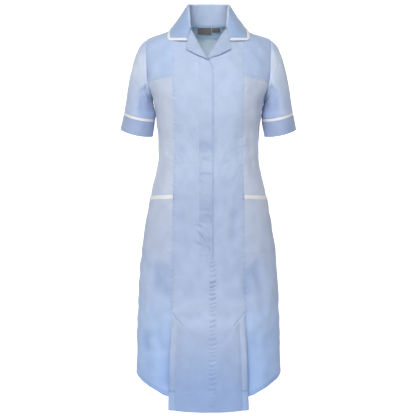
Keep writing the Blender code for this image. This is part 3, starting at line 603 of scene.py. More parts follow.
def side_front_places(side):
    """A side front panel, from the princess seam to the side seam, and up to the yoke and the armhole."""
    rows = np.array(PRINCESS_ROWS, float)
    inner = places_of(turn_of(princess_x(rows), rows), rows)
    outer = places_of(math.pi / 2, side_seam_rows())
    arm_z = np.array((*LOW_ARM_ROWS, UNDERARM_Z))
    top = np.concatenate([yoke_seam(), places_of(turn_of(armhole_x(arm_z), arm_z), arm_z)])
    spread = np.linspace(0, 1, len(top))
    low = places_of(inner[0, 0] + spread * (outer[0, 0] - inner[0, 0]), side_hem_z(spread))
    return between_edges(inner, outer, low, top, fade=BOW_FADE) * (side, 1)


def yoke_places(side):
    rows, arm_rows = np.array(YOKE_ROWS), np.array(YOKE_ARM_ROWS)
    inner = places_of(turn_of(princess_x(rows), rows), rows)
    outer = places_of(turn_of(armhole_x(arm_rows), arm_rows), arm_rows)
    top = places_of(math.pi / 2, np.linspace(inner[-1, 1], outer[-1, 1], YOKE_COLUMNS))
    return between_edges(inner, outer, yoke_seam(), top) * (side, 1)


def back_seam():
    rows = np.array((BACK_HEM_PRINCESS_Z, *PRINCESS_ROWS[1:], *YOKE_ROWS[1:]))
    return places_of(turn_of(back_princess_x(rows), rows, back=True), rows)


def centre_back_places():
    """The centre back panel, drawn on the left half from the seam to the centre, then mirrored."""
    seam = back_seam()
    shoulder = places_of(math.pi / 2, np.linspace(seam[-1, 1], NECK_Z, SHOULDER_COLUMNS))
    neck = places_of(np.linspace(math.pi / 2, math.pi, NECK_COLUMNS), NECK_Z)[1:]
    top = np.concatenate([shoulder, neck])
    spread = np.linspace(0, 1, len(top))
    low = places_of(
        seam[0, 0] + spread * (math.pi - seam[0, 0]),
        BACK_HEM_PRINCESS_Z + spread**2 * (BACK_HEM_CENTRE_Z - BACK_HEM_PRINCESS_Z),
    )
    share = (seam[:, 1] - seam[0, 1]) / (seam[-1, 1] - seam[0, 1])
    centre = places_of(math.pi, BACK_HEM_CENTRE_Z + share * (NECK_Z - BACK_HEM_CENTRE_Z))
    half = between_edges(seam, centre, low, top, fade=BOW_FADE)
    other = (2 * math.pi, 0) + half[:, -2::-1] * (-1, 1)
    return np.concatenate([half, other], axis=1)


def side_back_places(side):
    """A side back panel, from the princess seam to the side seam and the back armhole."""
    inner = back_seam()
    below = side_seam_rows()
    arm_z = np.array(BACK_ARM_ROWS, float)
    outer = np.concatenate([
        places_of(math.pi / 2, below),
        places_of(turn_of(armhole_x(arm_z), arm_z, back=True), arm_z),
    ])
    top = places_of(math.pi / 2, np.linspace(inner[-1, 1], outer[-1, 1], SIDE_BACK_COLUMNS))
    spread = np.linspace(0, 1, SIDE_BACK_COLUMNS)
    bend = (1 + BACK_HEM_BEND) * spread - BACK_HEM_BEND * spread**2
    low = places_of(
        inner[0, 0] + spread * (outer[0, 0] - inner[0, 0]),
        BACK_HEM_PRINCESS_Z + bend * (SIDE_HEM[-1].z - BACK_HEM_PRINCESS_Z),
    )
    return between_edges(inner, outer, low, top, fade=BOW_FADE) * (side, 1)


def cuff_ring(cuff, around):
    """An oval round the arm, tilted with the sleeve. around is 0 outside and a half turn at the body."""
    side, ahead = np.cos(around), np.sin(around)
    return np.stack([
        cuff.x + cuff.lateral_x * side,
        -cuff.deep * ahead,
        cuff.z + cuff.lateral_z * side - cuff.dip * ahead**2,
    ], axis=-1)


def armhole_point(around):
    """The point of the armhole edge that the sleeve meets, matched by the way round it."""
    share = np.abs((around + math.pi) % (2 * math.pi) - math.pi) / math.pi
    z = SHOULDER_TIP_Z + (UNDERARM_Z - SHOULDER_TIP_Z) * (1 - np.cos(math.pi * share)) / 2
    back = np.sin(around) < 0
    ahead = turn_of(armhole_x(z), z)
    behind = turn_of(armhole_x(z), z, back=True)
    edge = on_form(np.where(back, behind, ahead), z, CLOTH / 2)
    edge[..., 0] += SLEEVE_CLEAR + (UNDERARM_CLEAR - SLEEVE_CLEAR) * ramp(share, UNDERARM_FROM, UNDERARM_TO)
    return edge


def sleeve_point(around, share):
    """A point of the wearer's left sleeve, from the armhole at share 0 to the cuff's top at 1."""
    start, end = armhole_point(around), cuff_ring(CUFF_TOP, around)
    axis = np.array([CUFF_HEM.x - CUFF_TOP.x, 0, CUFF_HEM.z - CUFF_TOP.z])
    axis = axis / np.linalg.norm(axis)
    reach = np.linalg.norm(end - start, axis=-1)[..., None]
    high = (1 + np.cos(around))[..., None] / 2
    ahead = np.sin(around)[..., None]
    out, down = ((1 - high) * low + high * top for low, top in zip(CAP_LOW, CAP_HIGH))
    flat = np.concatenate([out, CAP_AHEAD * ahead, down], axis=-1)
    near = start + unit(flat) * reach * SLEEVE_CAP
    far = end - axis * reach * SLEEVE_FALL
    t = share
    return (
        (1 - t) ** 3 * start + 3 * t * (1 - t) ** 2 * near + 3 * t * t * (1 - t) * far + t**3 * end
    )


def mirrored(points, side):
    return points * (side, 1, 1)


def collar_seam(turn):
    """The neck seam that the collar stands on, from its front end round to the centre back."""
    front = np.minimum(turn / SIDE_TURN, 1)
    x = SEAM_FRONT_X + (NECK_X - SEAM_FRONT_X) * front
    z = neckline_z(x)
    round_back = math.pi / 2 + math.pi / 2 * np.clip((turn - SIDE_TURN) / (1 - SIDE_TURN), 0, 1)
    place = np.where(turn < SIDE_TURN, turn_of(x, z), round_back)
    return on_form(place, z, CLOTH / 2) + (0, 0, SEAM_STAND)


def collar_line(part):
    curves = [smooth(COLLAR, part + axis, along="turn") for axis in ("_x", "_y", "_z")]
    return lambda turn: np.array([float(curve(turn)) for curve in curves])


collar_roll, collar_middle, collar_edge = (collar_line(part) for part in ("roll", "middle", "edge"))


def collar_point(turn, share):
    """A point of the collar: up the stand, over the roll and down the fall. Past turn 1 it is mirrored."""
    if turn > 1:
        return mirrored(collar_point(2 - turn, share), -1)
    seam, roll, middle, edge = collar_seam(turn), collar_roll(turn), collar_middle(turn), collar_edge(turn)
    outward = unit((middle - roll) * (1, 1, 0))
    start = roll - (0, 0, ROLL_RADIUS)
    if share <= STAND_SHARE:
        return seam + (start - seam) * share / STAND_SHARE
    if share <= FALL_SHARE:
        bend = math.pi * (share - STAND_SHARE) / (FALL_SHARE - STAND_SHARE)
        return start + outward * ROLL_RADIUS * (1 - math.cos(bend)) + (0, 0, ROLL_RADIUS * math.sin(bend))
    top = start + outward * 2 * ROLL_RADIUS
    t = (share - FALL_SHARE) / (1 - FALL_SHARE)
    through = (MIDDLE_SHARE - FALL_SHARE) / (1 - FALL_SHARE)
    pull = (middle - (1 - through) ** 2 * top - through**2 * edge) / (2 * through * (1 - through))
    curved = (1 - t) ** 2 * top + 2 * t * (1 - t) * pull + t * t * edge
    if t < through:
        square = top + (middle - top) * t / through
    else:
        square = middle + (edge - middle) * (t - through) / (1 - through)
    return square + (curved - square) * ramp(turn, 0, COLLAR_SQUARE_TURN)


def side_name(base, side):
    return base + ("_left" if side > 0 else "_right")


def unit_normals(points, ring):
    """Normals of a sheet of points, from its neighbours along rows and columns."""
    down = np.gradient(points, axis=0)
    if ring:
        across = np.roll(points, -1, axis=1) - np.roll(points, 1, axis=1)
    else:
        across = np.gradient(points, axis=1)
    return unit(np.cross(across, down))


def waviness(along, seed, pitch=PUCKER_PITCH):
    """Uneven waves along a seam, from -1 to 1."""
    turn = 2 * math.pi * along / pitch
    phase = turn + 1.4 * np.sin(turn / 4.7 + seed) + 0.9 * np.sin(turn / 2.3 + 2.1 * seed)
    return np.sin(phase) * (0.62 + 0.38 * np.sin(turn / 6.1 + 3.3 * seed))


def unevenness(u, v, pitch, seed):
    """Soft low bumps all over, from a few seeded waves."""
    dice = np.random.default_rng(seed)
    total = np.zeros_like(u)
    for _ in range(WAVES):
        heading = dice.uniform(0, math.pi)
        length = pitch * dice.uniform(0.7, 1.9)
        wave = (u * math.cos(heading) + v * math.sin(heading)) * 2 * math.pi / length
        total += np.sin(wave + dice.uniform(0, 2 * math.pi))
    return total / math.sqrt(WAVES)


def bump(value, middle, wide):
    """A soft bump of height 1, as wide as that to each side."""
    return np.exp(-(((value - middle) / wide) ** 2))


def fold_height(fold, u, v, start, end):
    """The height that one fold adds at (u, v), with soft ends and a slight bend."""
    along_u, along_v = end[0] - start[0], end[1] - start[1]
    length = math.hypot(along_u, along_v)
    t = ((u - start[0]) * along_u + (v - start[1]) * along_v) / length**2
    off = ((u - start[0]) * -along_v + (v - start[1]) * along_u) / length
    bend = fold.width * FOLD_BEND * np.sin(4 * t + fold.width)
    taper = ramp(t, -0.12, 0.3) * ramp(1 - t, -0.12, 0.3)
    return fold.height * bump(off + bend, 0, fold.width) * taper


def body_folds(points):
    """Heights of the folds and the unevenness at points of the body form."""
    x, y, z = points[..., 0], points[..., 1], points[..., 2]
    total = np.zeros_like(x)
    in_front, behind = ramp(-y, -12, 25), ramp(y, -12, 25)
    for fold in BOTH_SIDES:
        for side in (-1, 1):
            shift = FOLD_SHIFT * math.sin(fold.z0 + side)
            start, end = (side * fold.x0, fold.z0 + shift), (side * fold.x1, fold.z1 - shift)
            total += fold_height(fold, x, z, start, end) * in_front
    for folds, facing in ((CENTRE_FOLDS, in_front), (BACK_FOLDS, behind)):
        for fold in folds:
            total += fold_height(fold, x, z, (fold.x0, fold.z0), (fold.x1, fold.z1)) * facing
    total *= 1 - 0.9 * ramp(np.abs(x) / half_width(z), 0.87, 0.975)
    around = np.arctan2(x, -y) * BODY_ROUND
    total += UNEVEN_HIGH * unevenness(around, z, UNEVEN_PITCH, 11)
    fine = CREASE_HIGH + WAIST_CREASE * bump(z, WAIST_Z, WAIST_TALL)
    return total + fine * unevenness(around, z, CREASE_PITCH, 12)


def dense(sheet):
    """A sheet read between its rows and columns, along smooth curves without overshoot."""
    for axis in (0, 1):
        rows = np.swapaxes(sheet, 0, axis)
        step = np.diff(rows, axis=0)
        slope = np.zeros_like(rows)
        slope[0], slope[-1] = step[0], step[-1]
        before, after = step[:-1], step[1:]
        with np.errstate(divide="ignore", invalid="ignore"):
            mean = 2 * before * after / (before + after)
        slope[1:-1] = np.where(before * after > 0, mean, 0)
        at = np.linspace(0, len(step), len(step) * SMOOTHING + 1)
        i = np.minimum(at.astype(int), len(step) - 1)
        t = (at - i).reshape(-1, 1, 1)
        rows = (
            rows[i] * (1 + 2 * t) * (1 - t) ** 2 + slope[i] * t * (1 - t) ** 2
            + rows[i + 1] * t * t * (3 - 2 * t) + slope[i + 1] * t * t * (t - 1)
        )
        sheet = np.swapaxes(rows, 0, axis)
    return sheet


def lengths_along(points, axis):
    gaps = np.linalg.norm(np.diff(points, axis=axis), axis=-1)
    start = np.zeros_like(np.take(gaps, [0], axis=axis))
    return np.concatenate([start, np.cumsum(gaps, axis=axis)], axis=axis)


def respaced(sheet, points, axis, near, far, grid):
    """The sheet, each line along the axis cut at near and far distances from its ends, then evenly."""
    sheet, lengths = np.swapaxes(sheet, 0, axis), np.swapaxes(lengths_along(points, axis), 0, axis)
    near, far = np.array(near, float), np.array(far, float)
    total = lengths[-1]
    room = near[-1] + far[-1]
    count = max(3, round((total.mean() - room) / grid) + 1)
    even = np.linspace(0, 1, count)[1:-1]
    made = np.zeros((len(near) + len(even) + len(far), *sheet.shape[1:]))
    for line in range(sheet.shape[1]):
        scale = min(1.0, total[line] * 0.8 / room)
        low, high = near * scale, total[line] - far[::-1] * scale
        wanted = np.concatenate([low, low[-1] + (high[0] - low[-1]) * even, high])
        at = np.interp(wanted, lengths[:, line], np.arange(len(lengths)))
        for channel in range(sheet.shape[2]):
            made[:, line, channel] = np.interp(at, np.arange(len(sheet)), sheet[:, line, channel])
    return np.swapaxes(made, 0, axis)


def refined(sheet, steps, grid=GRID):
    """A panel's places, and any heights, on a fine grid. steps are for the left, right, low and top."""
    left, right, low, top = steps
    sheet = dense(sheet)
    sheet = respaced(sheet, form(sheet[..., 0], sheet[..., 1]), 1, left, right, grid)
    return respaced(sheet, form(sheet[..., 0], sheet[..., 1]), 0, low, top, grid)


def snapped(sheet, left=None, right=None):
    """The sheet with its side edges laid exactly on seams, given as turns by height."""
    sheet = sheet.copy()
    across = lengths_along(form(sheet[..., 0], sheet[..., 1]), 1)
    for seam, column, distance in ((left, 0, across), (right, -1, across[:, -1:] - across)):
        if seam is not None:
            change = seam(sheet[:, column, 1]) - sheet[:, column, 0]
            sheet[..., 0] += change[:, None] * np.exp(-distance / SNAP_REACH)
    return sheet


def distances(points):
    """How far each point of a sheet lies from its left, right, low and top edges."""
    across, up = lengths_along(points, 1), lengths_along(points, 0)
    return across, across[:, -1:] - across, up, up[-1:] - up


def edge_relief(points, edges, seed):
    """Heights from seams, puckers and topstitching round a sheet, and painted shade by how near each point is
    to a seam.
    """
    away = distances(points)
    z = points[..., 2]
    height, near = np.zeros(points.shape[:2]), np.zeros(points.shape[:2])
    for index, (kinds, distance) in enumerate(zip(edges, away)):
        along = away[2] if index < 2 else away[0]
        wave = waviness(along + seed * 17.3, seed + index) * np.exp(-distance / PUCKER_REACH)
        wave = wave * ramp(distance, 0, 2)
        for edge in kinds:
            here = ramp(z, edge.low - 5, edge.low + 5) * (1 - ramp(z, edge.high - 5, edge.high + 5))
            change = -edge.dip * bump(distance, 0, SEAM_WIDE) + edge.pucker * wave
            if edge.stitched:
                change += STITCH_DIP * (1 - ramp(distance, STITCH_IN - 1, STITCH_IN + 1.5))
                change -= STITCH_DIP * bump(distance, STITCH_IN, STITCH_WIDE)
            height += change * here
            # Painted shade along the seam, in beads that follow its puckers
            broken = 0.35 + 0.65 * waviness(along + seed * 17.3, seed + index)
            near = np.maximum(near, np.exp(-distance / SEAM_NEAR) * here * edge.shade * np.maximum(broken, 0))
    return height, near


def hem_relief(points, seed):
    """The turned-up hem: its stitching line, plainest by the corners, and small pulls above and below it."""
    left, right, low, _ = distances(points)
    corner = 0.3 + 1.6 * np.exp(-(np.minimum(left, right) / HEM_CORNER) ** 2)
    pull = waviness(left, seed) * bump(low, HEM_STITCH, 9)
    groove = -HEM_DIP * corner * bump(low, HEM_STITCH, HEM_WIDE)
    return groove + 0.3 * pull + 0.35 * (1 - ramp(low, HEM_STITCH - 1, HEM_STITCH + 4))


def cloth_material(name, tones, roughness=0.8, weave=0.3, mottle=0.07):
    """Woven cloth: tones by height, partly painted light, a plain weave along its own UV, uneven dye, and
    painted shade in seams, folds and recesses.
    """
    made = bpy.data.materials.new(name)
    made.use_nodes = True
    nodes, links = made.node_tree.nodes, made.node_tree.links
    shader = nodes["Principled BSDF"]
    shader.inputs["Roughness"].default_value = roughness
    shader.inputs["Sheen Weight"].default_value = 0.15
    shader.inputs["Sheen Roughness"].default_value = 0.5
    shader.inputs["Specular IOR Level"].default_value = 0.25
    shader.inputs["Subsurface Weight"].default_value = SHEER
    shader.inputs["Subsurface Radius"].default_value = (0.8, 0.9, 1.0)
    shader.inputs["Subsurface Scale"].default_value = SHEER_DEEP

    def node(kind, **values):
        new = nodes.new(kind)
        for key, value in values.items():
            if hasattr(new, key):
                setattr(new, key, value)
            else:
                new.inputs[key.replace("_", " ")].default_value = value
        return new

    place = node("ShaderNodeTexCoord")
    cloud = node("ShaderNodeTexNoise", Scale=26.0, Detail=6.0)
    links.new(place.outputs["Object"], cloud.inputs["Vector"])
    slub = node("ShaderNodeTexNoise", Scale=700.0, Detail=2.0)
    links.new(place.outputs["UV"], slub.inputs["Vector"])
    both = node("ShaderNodeMath", operation="ADD")
    links.new(cloud.outputs["Fac"], both.inputs[0])
    links.new(slub.outputs["Fac"], both.inputs[1])
    uneven = node("ShaderNodeMapRange", From_Min=0.7, From_Max=1.3, To_Min=1 - mottle, To_Max=1 + mottle)
    links.new(both.outputs[0], uneven.inputs["Value"])
    low, high = min(tone.z for tone in tones) - 0.01, max(tone.z for tone in tones) + 0.01
    height = node("ShaderNodeSeparateXYZ")
    links.new(place.outputs["Object"], height.inputs[0])
    share = node("ShaderNodeMapRange", From_Min=low, From_Max=high)
    links.new(height.outputs["Z"], share.inputs["Value"])
    # The tones by height, with their painted light and shade
    tone_and_painted_light = node("ShaderNodeValToRGB")
    tone_and_painted_light.color_ramp.interpolation = "EASE"
    stops = tone_and_painted_light.color_ramp.elements
    stops.remove(stops[1])
    for index, tone in enumerate(sorted(tones)):
        stop = stops.new((tone.z - low) / (high - low)) if index else stops[0]
        stop.position = (tone.z - low) / (high - low)
        stop.color = (*tone.colour, 1)
    links.new(share.outputs[0], tone_and_painted_light.inputs[0])
    # Painted shade: a per-point attribute mixes the colour towards the painted shade colour
    shade = node("ShaderNodeAttribute", attribute_name="shade")
    deep = node("ShaderNodeMix", data_type="RGBA")
    ends = [socket for socket in deep.inputs if socket.type == "RGBA"]
    ends[0].default_value = (1, 1, 1, 1)
    ends[1].default_value = (*PAINTED_SHADE_COLOUR, 1)
    links.new(shade.outputs["Fac"], deep.inputs[0])
    tint = node("ShaderNodeVectorMath", operation="MULTIPLY")
    links.new(tone_and_painted_light.outputs[0], tint.inputs[0])
    links.new(deep.outputs[2], tint.inputs[1])
    final = node("ShaderNodeVectorMath", operation="SCALE")
    links.new(tint.outputs[0], final.inputs[0])
    links.new(uneven.outputs[0], final.inputs["Scale"])
    links.new(final.outputs[0], shader.inputs["Base Color"])
    threads = []
    for direction in ("X", "Y"):
        wave = node("ShaderNodeTexWave", bands_direction=direction, Scale=THREADS, Distortion=0.6, Detail=1.0)
        links.new(place.outputs["UV"], wave.inputs["Vector"])
        threads.append(wave)
    cross = node("ShaderNodeMath", operation="MAXIMUM")
    links.new(threads[0].outputs["Fac"], cross.inputs[0])
    links.new(threads[1].outputs["Fac"], cross.inputs[1])
    raised = node("ShaderNodeBump", Strength=weave, Distance=WEAVE_DEEP)
    links.new(cross.outputs[0], raised.inputs["Height"])
    links.new(raised.outputs[0], shader.inputs["Normal"])
    return made


def add_mesh(name, points, faces, uv=None, shade=None):
    """One closed mesh from points in millimetres, its faces turned outwards. uv is in metres of cloth."""
    mesh = bpy.data.meshes.new(name)
    mesh.from_pydata((points * MM).tolist(), [], faces)
    if uv is not None:
        layer = mesh.uv_layers.new(name="cloth")
        corners = np.zeros(len(mesh.loops), int)
        mesh.loops.foreach_get("vertex_index", corners)
        layer.data.foreach_set("uv", uv[corners].ravel())
    # Each point's painted shade, kept as an attribute for its cloth's colour
    values = np.zeros(len(points)) if shade is None else shade
    mesh.attributes.new("shade", "FLOAT", "POINT").data.foreach_set("value", values.astype(np.float32))
    shape = bmesh.new()
    shape.from_mesh(mesh)
    bmesh.ops.recalc_face_normals(shape, faces=shape.faces)
    if shape.calc_volume(signed=True) < 0:
        bmesh.ops.reverse_faces(shape, faces=shape.faces)
    shape.to_mesh(mesh)
    shape.free()
    mesh.shade_smooth()
    mesh.set_sharp_from_angle(angle=math.radians(60))
    made = bpy.data.objects.new(name, mesh)
    bpy.context.scene.collection.objects.link(made)
    return made


def squares_of(rows, columns, ring=False):
    """The four corners of each square of a sheet of points, numbered row by row."""
    index = np.arange(rows * columns).reshape(rows, columns)
    last = columns if ring else columns - 1
    beside = np.roll(index, -1, axis=1)
    corners = [index[:-1, :last], beside[:-1, :last], beside[1:, :last], index[1:, :last]]
    return index, np.stack(corners, axis=-1).reshape(-1, 4)


def wall(name, outer, inner, ring=False, shade=None):
    """A wall of cloth between two sheets of points, with painted shade on its outside only. A ring's columns
    go all round.
    """
    rows, columns = outer.shape[:2]
    count = rows * columns
    last = columns if ring else columns - 1
    index, squares = squares_of(rows, columns, ring)
    beside = np.roll(index, -1, axis=1)
    rims = [(index[row, :last], beside[row, :last]) for row in (0, rows - 1)]
    if not ring:
        rims += [(index[:-1, column], index[1:, column]) for column in (0, columns - 1)]
    sides = [np.stack([here, here + count, there + count, there], axis=-1) for here, there in rims]
    faces = np.concatenate([squares, squares + count, *sides]).tolist()
    points = np.concatenate([outer.reshape(-1, 3), inner.reshape(-1, 3)])
    flat = np.stack([lengths_along(outer, 1), lengths_along(outer, 0)], axis=-1).reshape(-1, 2) * MM
    deep = np.zeros(count) if shade is None else np.clip(shade, 0, 1).ravel()
    return add_mesh(name, points, faces, np.tile(flat, (2, 1)), np.concatenate([deep, 0 * deep]))


def dressed(made, slot, nodes, tones, **look):
    """Gives a piece its cloth, and sets it on the dress in place of its solids."""
    made.data.materials.append(cloth_material(made.name, tones, **look))
    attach(made, "root")
    if nodes:
        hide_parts(*nodes)


def panel(node, sheet, edges, seed, tones, out=0.0, thick=CLOTH, grid=GRID, folds=1.0, hem=False,
          shape=None, deep=None, thin=THIN, seams=(None, None), sewn=()):
    """A panel of cloth on the form: its outer face is its solid's outer face, with the relief.

    sheet holds places, and as an optional third value how far the panel lies off the form. shape gives more
    relief and deep more painted shade, both from the points and their distances from the edges.
    """
    steps = [HEM_STEPS if index == 2 and hem else SEAM_STEPS if kinds is not PLAIN else PLAIN_STEPS
             for index, kinds in enumerate(edges)]
    sheet = snapped(refined(sheet, steps, grid), *seams)
    turn, z = sheet[..., 0], sheet[..., 1]
    points, up = form(turn, z), normal(turn, z)
    relief, shade = edge_relief(points, edges, seed)
    heights = folds * body_folds(points)
    relief += heights
    # Painted shade in the troughs of the folds
    shade += np.clip(-FOLD_PAINTED_SHADE * heights, 0, 0.5)
    if hem:
        relief += hem_relief(points, seed)
    if sheet.shape[2] > 2:
        relief += sheet[..., 2]
    if shape is not None:
        relief += shape(points, distances(points))
    if deep is not None:
        shade = np.maximum(shade, deep(points, distances(points)))
    outer = points + up * (out + thick + relief)[..., None]
    made = wall(node + "_cloth", outer, outer - up * thin, shade=shade)
    dressed(made, "dress_cloth", [node], tones)
    if sewn:
        add_stitches(node, [line_in(outer, up, *where) for where in sewn])


def line_in(outer, up, index, distance, low=-2000.0, high=200.0):
    """Points and normals of a line at one distance inside a panel's edge, between two heights."""
    away = distances(outer)[index]
    both = np.concatenate([outer, up], axis=-1)
    if index >= 2:
        away, both = away.T, both.swapaxes(0, 1)
    if index % 2:
        away, both = away[:, ::-1], both[:, ::-1]
    line = np.array([
        [np.interp(distance, row, values[:, channel]) for channel in range(6)]
        for row, values in zip(away, both)
    ])
    return line[(line[:, 2] > low) & (line[:, 2] < high)]


def add_stitches(node, lines):
    """Lock stitches along lines of points and normals, as one piece. Each is a small grain of thread."""
    points, faces = [], []
    for line in lines:
        along = np.concatenate([[0], np.cumsum(np.linalg.norm(np.diff(line[:, :3], axis=0), axis=-1))])
        for start in np.arange(STITCH_PITCH / 2, along[-1] - STITCH_PITCH, STITCH_PITCH):
            first, last = np.array([
                [np.interp(at, along, line[:, axis]) for axis in range(6)]
                for at in (start, start + STITCH_LONG)
            ])
            up = unit(first[3:]) * STITCH_THICK
            beside = np.cross(up, unit(last[:3] - first[:3]))
            middle = (first[:3] + last[:3]) / 2 + up
            base = len(points)
            points += [first[:3], last[:3], middle + beside, middle + up, middle - beside, middle - 2 * up]
            for here, there in ((2, 3), (3, 4), (4, 5), (5, 2)):
                faces += [(base, base + here, base + there), (base + 1, base + there, base + here)]
    made = add_mesh(node + "_stitching", np.array(points), faces)
    dressed(made, "dress_cloth", [], THREAD_BLUE, roughness=0.6, weave=0.0, mottle=0.02)


def side_panel_sheet(side):
    """The side front panel with its kick pleat: its inner edge runs on behind the centre panel."""
    places = side_front_places(side)
    z = places[:, 0, 1]
    opened = ramp(-z, -PLEAT_TOP_Z, PLEAT_SLANT - PLEAT_TOP_Z)
    places[:, 0, 0] = np.where(opened > 0, side * at_side_front_seam(z), places[:, 0, 0])
    return places


def pleat_shape(points, _):
    """The side front panel sinks behind the centre panel by its kick pleat, deeper towards the hem."""
    z = points[..., 2]
    sunk = ramp(-z, -PLEAT_TOP_Z - SINK_FROM, SINK_TO - PLEAT_TOP_Z)
    hollow = ramp(-z, -PLEAT_TOP_Z, -SIDE_HEM[0].z)
    away = np.abs(points[..., 0]) - princess_x(z)
    near = 1 - ramp(away, 0, PLEAT_HOLLOW_WIDE)
    close = 1 - ramp(away, PLEAT_TUCK_FROM, PLEAT_TUCK_TO)
    return -(PLEAT_TUCK * sunk * close + PLEAT_HOLLOW * hollow * near)


def side_painted_shade(points, away):
    """Painted shade at the sides of the skirt, towards its outline, and along the rounded hem of its side
    panels.
    """
    x, z = np.abs(points[..., 0]), points[..., 2]
    rim = ramp(x / half_width(z), 0.9, 0.995) * ramp(-z, 400, 560)
    low = away[2]
    hem = bump(low, 0, 5) + 0.6 * bump(low, 10, 2.5)
    return np.maximum(RIM_PAINTED_SHADE * rim, hem * (z < POCKET_LOW_Z - 50))


def pleat_painted_shade(points, away):
    """Painted shade on the side panel: its own, and a painted shadow just outside the centre panel's free
    edge.
    """
    outside = np.abs(points[..., 0]) - princess_x(points[..., 2])
    below = ramp(-points[..., 2], 8 - PLEAT_TOP_Z, 90 - PLEAT_TOP_Z)
    edge = below * (0.9 * np.exp(-np.maximum(outside, 0) / 4) + 0.15 * (1 - ramp(outside, 4, 40)))
    return np.maximum(edge, side_painted_shade(points, away))


def free_edge_shape(points, away):
    """The centre panel's free edge below the pleat's top, folded back, pressed and stitched down."""
    z, distance = points[..., 2], away[1]
    below = ramp(-z, -PLEAT_TOP_Z, 12 - PLEAT_TOP_Z)
    pressed = FOLD_RISE * ramp(distance, 0, 4) * (1 - ramp(distance, FOLD_IN - 5, FOLD_IN + 3))
    pressed -= FOLD_DIP * bump(distance, FOLD_IN + 4, 4)
    tack = ramp(-z, 18 - PLEAT_TOP_Z, 24 - PLEAT_TOP_Z) * (1 - ramp(-z, 60 - PLEAT_TOP_Z, 70 - PLEAT_TOP_Z))
    puckers = 0.7 * waviness(z, 5.0, 7.5) * (1 - ramp(distance, 8, 16)) - 0.5 * bump(distance, STITCH_IN, 1.2)
    return below * pressed + tack * puckers


def free_edge_painted_shade(points, away):
    """Painted shade beside the pressed strip, which leaves the strip lighter, and where the hem's stitching
    crosses it.
    """
    z, distance = points[..., 2], away[1]
    below = ramp(-z, 20 - PLEAT_TOP_Z, 60 - PLEAT_TOP_Z)
    beside = FREE_EDGE_PAINTED_SHADE * below * ramp(distance, FOLD_IN - 2, FOLD_IN + 6)
    return np.maximum(beside, 0.8 * bump(away[2], HEM_STITCH, 3) * (1 - ramp(distance, 16, 28)))


def slant_below(points, side):
    """How far points lie below the stitching that slants in from the top of a pleat, and where that runs."""
    x, z = points[..., 0] * side, points[..., 2]
    share = (princess_x(PLEAT_TOP_Z) - x) / SLANT_WIDE
    below = PLEAT_TOP_Z - share * SLANT_TALL - z
    return below, ramp(share, -0.15, 0.05) * (1 - ramp(share, 0.9, 1.1))


def slant_shape(points, side):
    below, within = slant_below(points, side)
    flap = 1.8 * ramp(below, 0, 4) * (1 - ramp(below, 8, 40))
    return within * (flap - 1.3 * bump(below, -1.5, 2.2) + 0.8 * bump(below, -9, 5))


def band_wave(points):
    """The puckers' waves down the centre front, below the placket, the same on both sides of its seam."""
    x, z = points[..., 0], points[..., 2]
    turn = 2 * math.pi * (z + 1.5 * np.sin(x / 4) + 2.2 * np.sin(z / 23)) / BAND_PITCH
    return np.sin(turn + np.sin(turn / 4.7)) + 0.3 * np.sin(turn / 3.1) + 0.15 * np.sin(x / 2.7 + turn / 5)


def closing_band(points, away):
    """Puckers on both sides of the centre front seam, below the placket."""
    z, distance = points[..., 2], away[0]
    below = ramp(-z, 6 - POCKET_LOW_Z, 20 - POCKET_LOW_Z)
    within = 1 - ramp(distance, BAND_WIDE - 3, BAND_WIDE + 3)
    return below * within * (0.8 - BAND_PUCKER * ramp(band_wave(points), -0.2, 0.8))


def band_painted_shade(points, away):
    """Painted shade in those puckers, and a painted shadow line by the closing edge above them."""
    z, distance = points[..., 2], away[0]
    low = ramp(-z, 6 - POCKET_LOW_Z, 20 - POCKET_LOW_Z)
    ladder = low * ramp(band_wave(points), 0.1, 0.9) * (1 - ramp(distance, BAND_WIDE - 4, BAND_WIDE + 1))
    uneven = BAND_PAINTED_SHADE * (0.7 + 0.3 * np.sin(z / 19))
    ladder *= uneven * (1 - 0.35 * ramp(-z, -PLEAT_TOP_Z, 40 - PLEAT_TOP_Z))
    dashes = 0.55 + 0.45 * waviness(z, 1.0, 60.0) * ramp(-z, 420, 470)
    return ladder + 0.9 * (1 - low) * dashes * np.exp(-distance / 2.6)


def placket_shape(points, away):
    """The placket lies flush with the panel at its stitched edge, and stands up at its closing edge."""
    return -(LAYER_GAP + CLOTH - 0.35) * (1 - ramp(away[1], 0, 9)) + 0.9 * np.exp(-away[0] / 4)


# Painted shade in patches down the placket
def placket_painted_shade(points, _):
    z = points[..., 2]
    return sum(patch.shade * bump(z, patch.z, patch.tall) for patch in PLACKET_SHADE_PATCHES)


def pocket_shape(_, away):
    """The pocket lies flush with the panel, and only its trimmed top stands off it."""
    return -(LAYER_GAP + CLOTH - 0.3) * ramp(away[3], 4, 40)


def trim_end_painted_shade(points, _):
    """Painted shade where the ends of the pocket trims go into the princess seams."""
    x, z = np.abs(points[..., 0]), points[..., 2]
    at = princess_x(TRIM_LOW_Z) - 3
    return 0.9 * sum(np.exp(-((x - at) ** 2 + (z - spot) ** 2) / 9) for spot in (TRIM_TOP_Z, TRIM_LOW_Z))


def mirrored_turn(turn, side):
    """A seam's turn as a function of height, on one side of the dress."""
    return lambda z: side * turn(z)


def at_princess(z):
    return turn_of(princess_x(z), z)


def at_armhole(z):
    return turn_of(armhole_x(z), z)


def at_side_front_seam(z):
    """The side front panel's inner edge: the princess seam, and below the pleat's top its hidden edge."""
    opened = ramp(-z, -PLEAT_TOP_Z, PLEAT_SLANT - PLEAT_TOP_Z)
    return turn_of(np.maximum(princess_x(z) - PLEAT_UNDERLAY * opened, 0), z)


def at_back_princess(z):
    return turn_of(back_princess_x(z), z, back=True)


def at_back_side(z):
    """The side back panel's outer edge: the side seam, and above it the back of the armhole."""
    return np.where(z > UNDERARM_Z, turn_of(armhole_x(z), z, back=True), math.pi / 2)


